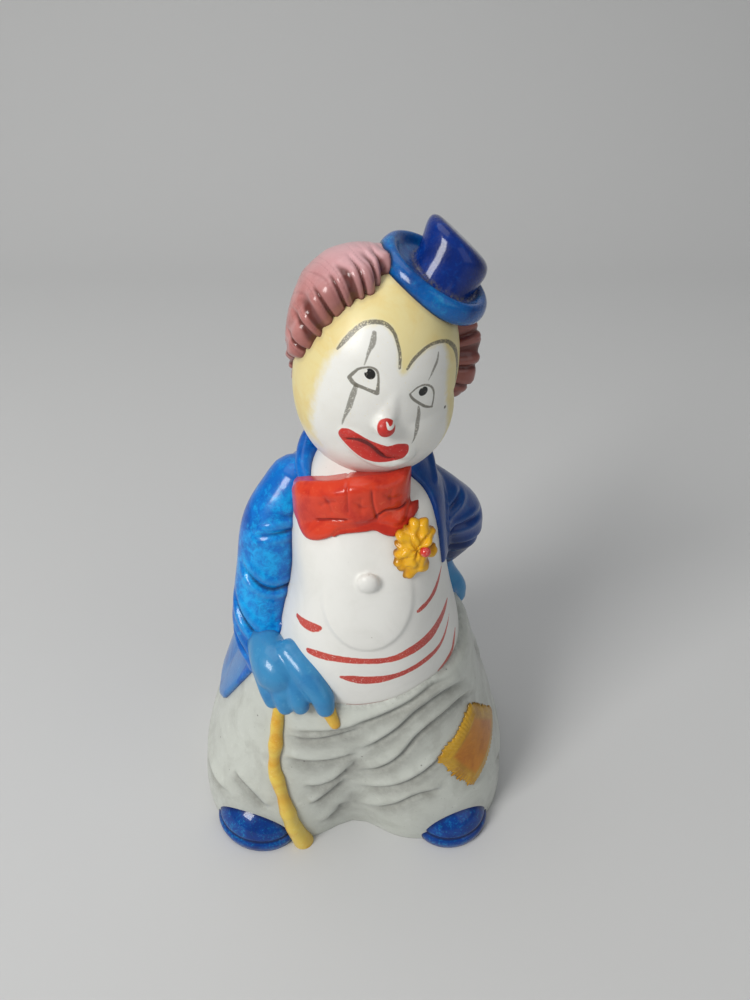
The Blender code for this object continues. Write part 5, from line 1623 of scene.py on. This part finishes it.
# The bow tie
# A limp red bow: one cushion gathered at two shallow seams, with a darker lower layer showing under it.
# Bright red with orange where it is thin, and dark red painted shade in the gathers.
BOW = [
    (-11.9, 90.5, 96.5), (-10.6, 88.9, 99.0), (-8.9, 88.1, 100.2), (-6.4, 88.8, 101.4), (-3.2, 90.5, 102.5),
    (-1.5, 92.0, 103.0), (1.0, 92.6, 103.9), (4.0, 93.3, 104.4), (6.0, 93.9, 104.4), (8.1, 93.4, 104.2),
    (10.6, 92.6, 104.4), (12.3, 93.3, 104.6), (13.5, 96.0, 104.2),
]
BOW_TAIL = [
    (-3.6, 91.5, 95.0), (-2.7, 90.5, 95.0), (-1.5, 91.2, 95.0), (1.0, 91.8, 95.0), (4.0, 92.2, 95.0),
    (6.0, 92.4, 95.0), (8.1, 91.4, 95.0), (10.2, 91.0, 95.0), (11.9, 91.8, 95.5), (13.8, 93.2, 96.2),
    (15.3, 94.4, 96.0),
]
BOW_THICKNESS = 3.0
BOW_TAIL_THICKNESS = 1.9
BOW_CLEAR = 1.9
BOW_TAIL_CLEAR = 1.0
BOW_DEPTH = 5.0
BOW_BACK_SHARE = 0.7
CHEST_X = 2.5
CHEST_Y = -19.6
CHEST_CURVE = 0.034
# Seams and gathers are lines of x and z on the bow's front, with a depth and a width
GATHERS = [
    ([(0.4, 103.6), (0.4, 100.2), (0.5, 96.6)], 0.26, 0.3),
    ([(5.4, 103.2), (5.6, 99.6), (6.2, 96.7), (6.6, 94.4)], 0.32, 0.32),
    ([(-6.8, 93.4), (-3.0, 94.8), (0.9, 95.4)], 0.5, 0.36),
    ([(5.8, 95.2), (8.0, 97.0), (11.1, 96.6), (13.2, 97.2)], 0.45, 0.34),
    ([(-5.6, 97.2), (-4.0, 98.9), (-1.4, 99.8)], 0.2, 0.5),
    ([(-4.6, 100.4), (-3.4, 98.4), (-2.8, 96.2)], 0.18, 0.5),
    ([(1.8, 100.2), (3.0, 98.8), (4.8, 98.4)], 0.18, 0.45),
    ([(3.4, 96.8), (3.0, 98.8), (3.4, 101.4)], 0.15, 0.5),
    ([(7.8, 101.4), (9.2, 99.8), (11.8, 99.6)], 0.2, 0.5),
    ([(9.6, 102.4), (9.2, 99.8), (9.8, 98.4)], 0.15, 0.5),
]


def ribbon(name, edges, thickness, clear):
    """A cushion of ribbon across the chest between its lower and upper edges."""
    stations = smooth_path(edges, 121)

    def place(s, t, side):
        x, low, high = stations[round(s * 120)]
        z = low + (high - low) * t
        chest = CHEST_Y + CHEST_CURVE * (x - CHEST_X) ** 2
        if side == 0:
            middle = (low + high) / 2
            return x, chest + BOW_DEPTH, middle + (z - middle) * BOW_BACK_SHARE
        puff = (1 - abs(2 * t - 1) ** 7) * (1 - abs(2 * s - 1) ** 9)
        shirt_front = torso_skin.ray_cast(Vector((x, -60, z)), Vector((0, 1, 0)))[0]
        behind = chest if shirt_front is None else shirt_front.y
        return x, min(chest - thickness * puff, behind - clear * puff), z

    return slab(name, place, 120, 50)


upper_layer = ribbon("bow_cushion", BOW, BOW_THICKNESS, BOW_CLEAR)
lower_layer = ribbon("bow_tail", BOW_TAIL, BOW_TAIL_THICKNESS, BOW_TAIL_CLEAR)
bow = fuse("bow_tie", [upper_layer, lower_layer], 0.25, 4)
points = corners_of(bow)
gathered = np.zeros(len(points))
for line, depth, width in GATHERS:
    distance, along, _, _ = along_path(points[:, (0, 2)], smooth_path(line, 40))
    fade = np.clip(np.minimum(along, 1 - along) / 0.12, 0.25, 1)
    gathered -= depth * fade * np.exp(-((distance / width) ** 2))
raise_by(bow, np.where(points[:, 1] < -12, gathered, 0))
mark(bow, "gathers", gathered)
mark(bow, "lower", reach(bow, surface(upper_layer)))
mark(bow, "shade_reach", reach(bow, surface(shirt), surface(coat_body, collar)))
bow_paint, tree, shader = finish("red_bow_paint", 0.28, 0.45, 0.08, 0.15)
base = placed(
    tree, dabbed, Colour=(0.68, 0.055, 0.022), Darker=(0.48, 0.016, 0.012), Lighter=(0.80, 0.16, 0.07),
    Grain=0.5,
)
lower = steps(tree, read(tree, "lower"), 0.1, 0.6, 0.0, 0.55)
colour = over(tree, base.outputs[0], (0.42, 0.022, 0.015), lower)
# Painted shade in dark red down in the gathers
deep = steps(tree, read(tree, "gathers"), -0.1, -0.42, 0.0, 0.7)
colour = over(tree, colour, (0.24, 0.008, 0.008), deep)
# Painted shade where the shirt and collar come close
neighbour_shade = steps(tree, read(tree, "shade_reach"), 0.0, 0.8, 0.5, 0.0)
colour = over(tree, colour, (0.26, 0.012, 0.01), neighbour_shade)
glaze(tree, shader, colour, None, ripple=0.8, peel=0.3)
cast("bow_tie", bow, bow_paint)


# The flower
# A ruffled yellow flower in the coat's lapel, modelled by hand and fused on before casting: petals round a
# cushion, a red bead in the middle and a leaf hanging from it. Yellow ochre, with brown painted shade in the
# recesses.
FLOWER = (14.0, 88.6)
FLOWER_RADIUS = 4.9
FLOWER_LIFT = 1.0
FLOWER_LEAN = math.radians(16)
BLOOM_RADII = (3.3, 2.3, 4.6)
PETALS = 9
RUFFLES = 19
PETAL_RADII = (1.2, 1.5, 2.2)
RUFFLE_RADII = (0.62, 1.15, 1.3)
BEAD = (1.5, -2.9, 0.2)
BEAD_RADII = (1.15, 1.15, 1.15)
LEAF = (-0.6, 0.2, -6.0)
LEAF_RADII = (1.1, 1.0, 1.6)

flower_centre = front(torso_skin, *FLOWER, FLOWER_LIFT)
ahead = (front(torso_skin, *FLOWER, FLOWER_LIFT + 1) - flower_centre).normalized()
flower_face = ahead.to_track_quat("-Y", "Z").to_matrix() @ Matrix.Rotation(FLOWER_LEAN, 3, "Y")

# A ring of petals: each point gets an ellipsoid, turned outwards and varied in size
petal_tree, entry, leave = node_tree(
    "ring of petals",
    [("Float", "Width"), ("Float", "Depth"), ("Float", "Length"), ("Float", "Unevenness"), ("Int", "Seed"),
     ("Material", "Material")],
)
ball = part_of(petal_tree, "GeometryNodeMeshUVSphere", {"Segments": 32, "Rings": 20, "Radius": 1.0})
size = part_of(
    petal_tree, "ShaderNodeCombineXYZ",
    {0: entry.outputs["Width"], 1: entry.outputs["Depth"], 2: entry.outputs["Length"]},
)
low = part_of(petal_tree, "ShaderNodeMath", {0: 1.0, 1: entry.outputs["Unevenness"]}, operation="SUBTRACT")
high = part_of(petal_tree, "ShaderNodeMath", {0: 1.0, 1: entry.outputs["Unevenness"]}, operation="ADD")
uneven = part_of(
    petal_tree, "FunctionNodeRandomValue",
    {"Min": low.outputs[0], "Max": high.outputs[0], "Seed": entry.outputs["Seed"]}, data_type="FLOAT",
)
scaled = part_of(
    petal_tree, "ShaderNodeVectorMath", {0: size.outputs[0], 3: uneven.outputs[1]}, operation="SCALE",
)
out = part_of(petal_tree, "GeometryNodeInputNamedAttribute", {"Name": "out"}, data_type="FLOAT_VECTOR")
turned = part_of(petal_tree, "FunctionNodeAlignRotationToVector", {"Vector": out.outputs[0]}, axis="Z")
laid = part_of(
    petal_tree, "GeometryNodeInstanceOnPoints",
    {"Points": entry.outputs["Geometry"], "Instance": ball.outputs[0], "Rotation": turned.outputs[0],
     "Scale": scaled.outputs[0]},
)
real = part_of(petal_tree, "GeometryNodeRealizeInstances", {"Geometry": laid.outputs[0]})
painted = part_of(
    petal_tree, "GeometryNodeSetMaterial", {
        "Geometry": real.outputs[0], "Material": entry.outputs["Material"],
    }
)
petal_tree.links.new(painted.outputs[0], leave.inputs[0])
flower_paint, tree, shader = finish("yellow_flower_paint", 0.3, 0.4, 0.08, 0.2)


def petals(name, count, radii, spread_x, spread_z, ahead_by, seed):
    """A ring of petals round the flower's middle."""
    places, ways = [], []
    for k in range(count):
        turn = 2 * math.pi * (k + 0.3) / count
        outwards = Vector((math.sin(turn) * spread_x, 0, math.cos(turn) * spread_z))
        places.append(tuple(flower_centre + flower_face @ (outwards + Vector((0, ahead_by, 0)))))
        ways.append(flower_face @ outwards.normalized())
    ring = bpy.data.meshes.new(name)
    ring.from_pydata(places, [], [])
    kept = ring.attributes.new("out", "FLOAT_VECTOR", "POINT")
    kept.data.foreach_set("vector", np.array(ways, dtype=np.float32).ravel())
    values = {"Width": radii[0], "Depth": radii[1], "Length": radii[2], "Unevenness": 0.3, "Seed": seed}
    return grown(name, ring, petal_tree, {**values, "Material": flower_paint})


outer = petals("outer_petals", PETALS, PETAL_RADII, FLOWER_RADIUS * 0.5, FLOWER_RADIUS * 0.9, -0.6, 3)
ruffle = petals("ruffle", RUFFLES, RUFFLE_RADII, FLOWER_RADIUS * 0.64, FLOWER_RADIUS * 1.04, -0.2, 8)
inner = petals("inner_petals", 9, (0.7, 1.1, 1.6), FLOWER_RADIUS * 0.36, FLOWER_RADIUS * 0.54, -1.8, 5)
bloom = ellipsoid("bloom", flower_centre, BLOOM_RADII, flower_face)
leaf = ellipsoid("leaf", flower_centre + flower_face @ Vector(LEAF), LEAF_RADII, flower_face)
flower = fuse("flower", [bloom, outer, ruffle, inner, leaf], 0.2, 5)
points = (corners_of(flower) - np.array(flower_centre)) @ np.array(flower_face)
turn_round, off_middle = np.arctan2(points[:, 0], points[:, 2]), np.hypot(points[:, 0], points[:, 2])
frill = 0.2 * np.sin(5 * turn_round + 1.5 * off_middle) + 0.1 * np.sin(
    8 * turn_round - 1.9 * off_middle + 1.0,
)
raise_by(flower, np.where(points[:, 1] < 0.6, frill, 0))
radial = np.hypot(points[:, 0] / (FLOWER_RADIUS * 0.64), points[:, 2] / (FLOWER_RADIUS * 1.04))
# How far down in the flower a point lies, for the painted shade
mark(
    flower, "hollow",
    np.clip((-points[:, 1] - 1.0) / 2.2, -1, 1) + 0.9 * frill - 0.6 * np.exp(-((radial / 0.3) ** 2)),
)
mark(flower, "shade_reach", reach(flower, torso_skin, surface(coat_body)))
base = placed(
    tree, dabbed, Colour=(0.80, 0.42, 0.012), Darker=(0.62, 0.24, 0.008), Lighter=(0.88, 0.62, 0.10),
    Grain=0.9,
)
# Painted shade in brown down in the flower's recesses and dips
low = steps(tree, read(tree, "hollow"), 0.25, -0.45, 0.0, 0.8)
colour = over(tree, base.outputs[0], (0.36, 0.13, 0.008), low)
# Painted shade where the shirt and coat come close
neighbour_shade = steps(tree, read(tree, "shade_reach"), 0.1, 1.2, 0.55, 0.0)
colour = over(tree, colour, (0.15, 0.065, 0.015), neighbour_shade)
glaze(tree, shader, colour, None, ripple=0.4, peel=0.5)
cast("flower", flower, flower_paint)

bead = ellipsoid("bead", flower_centre + flower_face @ Vector(BEAD), BEAD_RADII)
bead_paint, tree, shader = finish("red_bead_paint", 0.2, 0.6, 0.06)
base = placed(
    tree, dabbed, Colour=(0.62, 0.03, 0.02), Darker=(0.40, 0.01, 0.01), Lighter=(0.85, 0.75, 0.70), Grain=0.6,
)
glaze(tree, shader, base.outputs[0], None, ripple=0.2, peel=0.1)
cast("flower_bead", bead, bead_paint)


# The clapper
# A steel wire looped through the lug's eye and wrapped back round itself, with a fired clay ball
# threaded on it and held by the wire's upset end. It hangs free and swings both ways.
WIRE_RADIUS = 0.6
BALL_SIDES = 96
EYE_RADIUS = 1.8
LUG_RIM = 2.0
LUG_THICKNESS = 3.2
HANGING_GAP = 0.5
STEM_LENGTH = 57.3
WRAP_GAP = 0.16
WRAP_TURNS = 1.5
WIRE_END_RADIUS = 1.5
WIRE_END_LENGTH = 1.4
BALL_RADIUS = 6.0
BALL_GAP = 0.35
BALL_SEAT = 0.4
LUG_BELOW = HANGING_GAP + WIRE_RADIUS + LUG_RIM
LOOP_HALF_WIDTH = LUG_THICKNESS / 2 + HANGING_GAP + WIRE_RADIUS
LOOP_HALF_HEIGHT = (LUG_BELOW + HANGING_GAP + WIRE_RADIUS) / 2
STEM_TOP = 2 * LOOP_HALF_HEIGHT + 1.5 * WIRE_RADIUS
WRAP_RADIUS = 2 * WIRE_RADIUS + WRAP_GAP

end = -STEM_LENGTH - BALL_RADIUS - BALL_SEAT
rows = [
    (0, 0, end - 1.3 * WIRE_END_LENGTH, WIRE_RADIUS),
    (0, 0, end - WIRE_END_LENGTH, WIRE_END_RADIUS),
    (0, 0, end - WIRE_END_LENGTH / 2, WIRE_END_RADIUS),
    (0, 0, end, WIRE_RADIUS),
    (0, 0, -STEM_LENGTH, WIRE_RADIUS),
    (0, 0, -STEM_TOP, WIRE_RADIUS),
]
for angle in np.radians(np.arange(-50, 241, 8)):
    c, s = math.cos(angle), math.sin(angle)
    across = LOOP_HALF_WIDTH * math.copysign(abs(c) ** 0.8, c)
    rise = LOOP_HALF_HEIGHT * (math.copysign(abs(s) ** 0.8, s) - 1)
    rows.append((0, across, rise, WIRE_RADIUS))
for turn in np.linspace(0, WRAP_TURNS, 41):
    angle = 2 * math.pi * turn - math.pi / 2
    low = -STEM_TOP - WRAP_RADIUS * turn
    rows.append((WRAP_RADIUS * math.cos(angle), WRAP_RADIUS * math.sin(angle), low, WIRE_RADIUS))

curve = bpy.data.curves.new("wire_path", "CURVE")
curve.dimensions = "3D"
curve.bevel_depth = WIRE_RADIUS
curve.bevel_resolution = 5
curve.use_fill_caps = True
spline = curve.splines.new("POLY")
spline.points.add(len(rows) - 1)
for point, (x, y, z, radius) in zip(spline.points, rows):
    point.co = (*(PIVOT + Vector((x, y, z))), 1)
    point.radius = radius / WIRE_RADIUS
path = bpy.data.objects.new("wire_path", curve)
bpy.context.scene.collection.objects.link(path)
wire = bpy.data.meshes.new_from_object(path.evaluated_get(bpy.context.evaluated_depsgraph_get()))
bpy.data.objects.remove(path)

steel, tree, shader = finish("steel_wire", 0.34)
shader.inputs["Metallic"].default_value = 1.0
worn = fine_noise(tree, 900.0, 4.0, 0.7)
colour = over(tree, (0.52, 0.50, 0.47), (0.17, 0.11, 0.07), steps(tree, worn, 0.52, 0.72, 0.0, 0.7))
glaze(tree, shader, colour, steps(tree, worn, 0.4, 0.75, 0.28, 0.6), ripple=0.0, peel=0.3, grit=0.4)


def hang(name, mesh, material):
    """Sets a finished piece of the clapper into the frame."""
    mesh.name = name
    mesh.materials.clear()
    mesh.materials.append(material)
    mesh.transform(Matrix.Translation(PLACE) @ Matrix.Scale(MM, 4))
    mesh.shade_smooth()
    made = bpy.data.objects.new(name, mesh)
    bpy.context.scene.collection.objects.link(made)
    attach(made, "clapper")
    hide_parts(name)


hang("clapper_wire", wire, steel)

bore = WIRE_RADIUS + BALL_GAP
start = math.asin(bore / BALL_RADIUS)
rings = []
turns = np.linspace(0, 2 * math.pi, BALL_SIDES, endpoint=False)
profile = [
    (BALL_RADIUS * math.sin(a), BALL_RADIUS * math.cos(a)) for a in np.linspace(start, math.pi - start, 61)
]
profile += [(bore, rise) for rise in np.linspace(profile[-1][1], profile[0][1], 12)[1:]]
for radius, rise in profile:
    centre = PIVOT + Vector((0, 0, rise - STEM_LENGTH))
    rings.append([centre + Vector((math.cos(t), math.sin(t), 0)) * radius for t in turns])
ball_points = np.array(rings).reshape(-1, 3)
ball_faces = []
for i in range(len(rings) - 1):
    for j in range(len(turns)):
        k = (j + 1) % len(turns)
        near, far = i * BALL_SIDES, (i + 1) * BALL_SIDES
        ball_faces.append((near + j, near + k, far + k, far + j))
ball = closed_mesh("clapper_ball", ball_points, ball_faces)
clay_ball, tree, shader = finish("bisque_ball", 0.8)
clay = placed(
    tree, dabbed, Colour=(0.70, 0.66, 0.58), Darker=(0.55, 0.5, 0.42), Lighter=(0.78, 0.75, 0.69),
    Grain=0.4,
)
grit = placed(tree, specks, Scale=0.9, Size=0.16, Share=0.2).outputs[0]
colour = over(tree, clay.outputs[0], (0.25, 0.21, 0.17), sum_up(tree, "MULTIPLY", grit, 0.5))
glaze(tree, shader, colour, None, ripple=0.5, peel=0.6, grit=0.8)
hang("clapper_ball", ball, clay_ball)


# The table, the light and the camera
# A plain pale table that sweeps up behind, in soft studio light from the upper left, seen from above.
TABLE_FRONT = -3.0
TABLE_BACK = 0.42
CURVE_RADIUS = 0.3
WALL_TOP = 3.0
TABLE_HALF_WIDTH = 4.0

sweep = [(TABLE_FRONT, 0.0)]
for angle in np.linspace(0, math.pi / 2, 24):
    sweep.append((TABLE_BACK + CURVE_RADIUS * math.sin(angle), CURVE_RADIUS * (1 - math.cos(angle))))
sweep.append((TABLE_BACK + CURVE_RADIUS, WALL_TOP))
table_points = [(x, y, z) for x in (-TABLE_HALF_WIDTH, TABLE_HALF_WIDTH) for y, z in sweep]
table_faces = [(i, i + len(sweep), i + len(sweep) + 1, i + 1) for i in range(len(sweep) - 1)]
table_mesh = bpy.data.meshes.new("table")
table_mesh.from_pydata(table_points, [], table_faces)
table_mesh.shade_smooth()
floor = bpy.data.objects.new("table", table_mesh)
bpy.context.scene.collection.objects.link(floor)
paper, tree, shader = finish("pale_paper", 0.9)
shader.inputs["Specular IOR Level"].default_value = 0.1
shader.inputs["Base Color"].default_value = (0.585, 0.59, 0.59, 1)
floor.data.materials.append(paper)

SUBJECT = Vector((0.0, 0.0, 0.075))


def softbox(name, place, size, power, colour=(1, 1, 1)):
    """A rectangular lamp aimed at the figure."""
    lamp = bpy.data.lights.new(name, "AREA")
    lamp.shape = "RECTANGLE"
    lamp.size, lamp.size_y = size
    lamp.energy = power
    lamp.color = colour
    made = bpy.data.objects.new(name, lamp)
    made.location = place
    made.rotation_euler = (SUBJECT - Vector(place)).to_track_quat("-Z", "Y").to_euler()
    bpy.context.scene.collection.objects.link(made)


softbox("key", (-0.52, -0.50, 0.62), (0.34, 0.34), 5.7, (1.0, 0.985, 0.96))
softbox("fill", (0.60, -0.45, 0.45), (0.6, 0.6), 0.7, (0.95, 0.97, 1.0))
softbox("top", (-0.25, 0.2, 1.5), (1.2, 1.2), 6.6)

world = bpy.data.worlds.new("studio")
world.use_nodes = True
world.node_tree.nodes["Background"].inputs["Color"].default_value = (0.5, 0.5, 0.5, 1)
world.node_tree.nodes["Background"].inputs["Strength"].default_value = 0.42
bpy.context.scene.world = world
bpy.context.scene.view_settings.view_transform = "Standard"

camera = bpy.data.cameras.new("camera")
camera.sensor_width = 36
camera.lens = 27.04
viewer = bpy.data.objects.new("camera", camera)
viewer.location = (0.006024, -0.140296, 0.187)
viewer.rotation_euler = (math.radians(55), 0, 0)
bpy.context.scene.collection.objects.link(viewer)
bpy.context.scene.camera = viewer
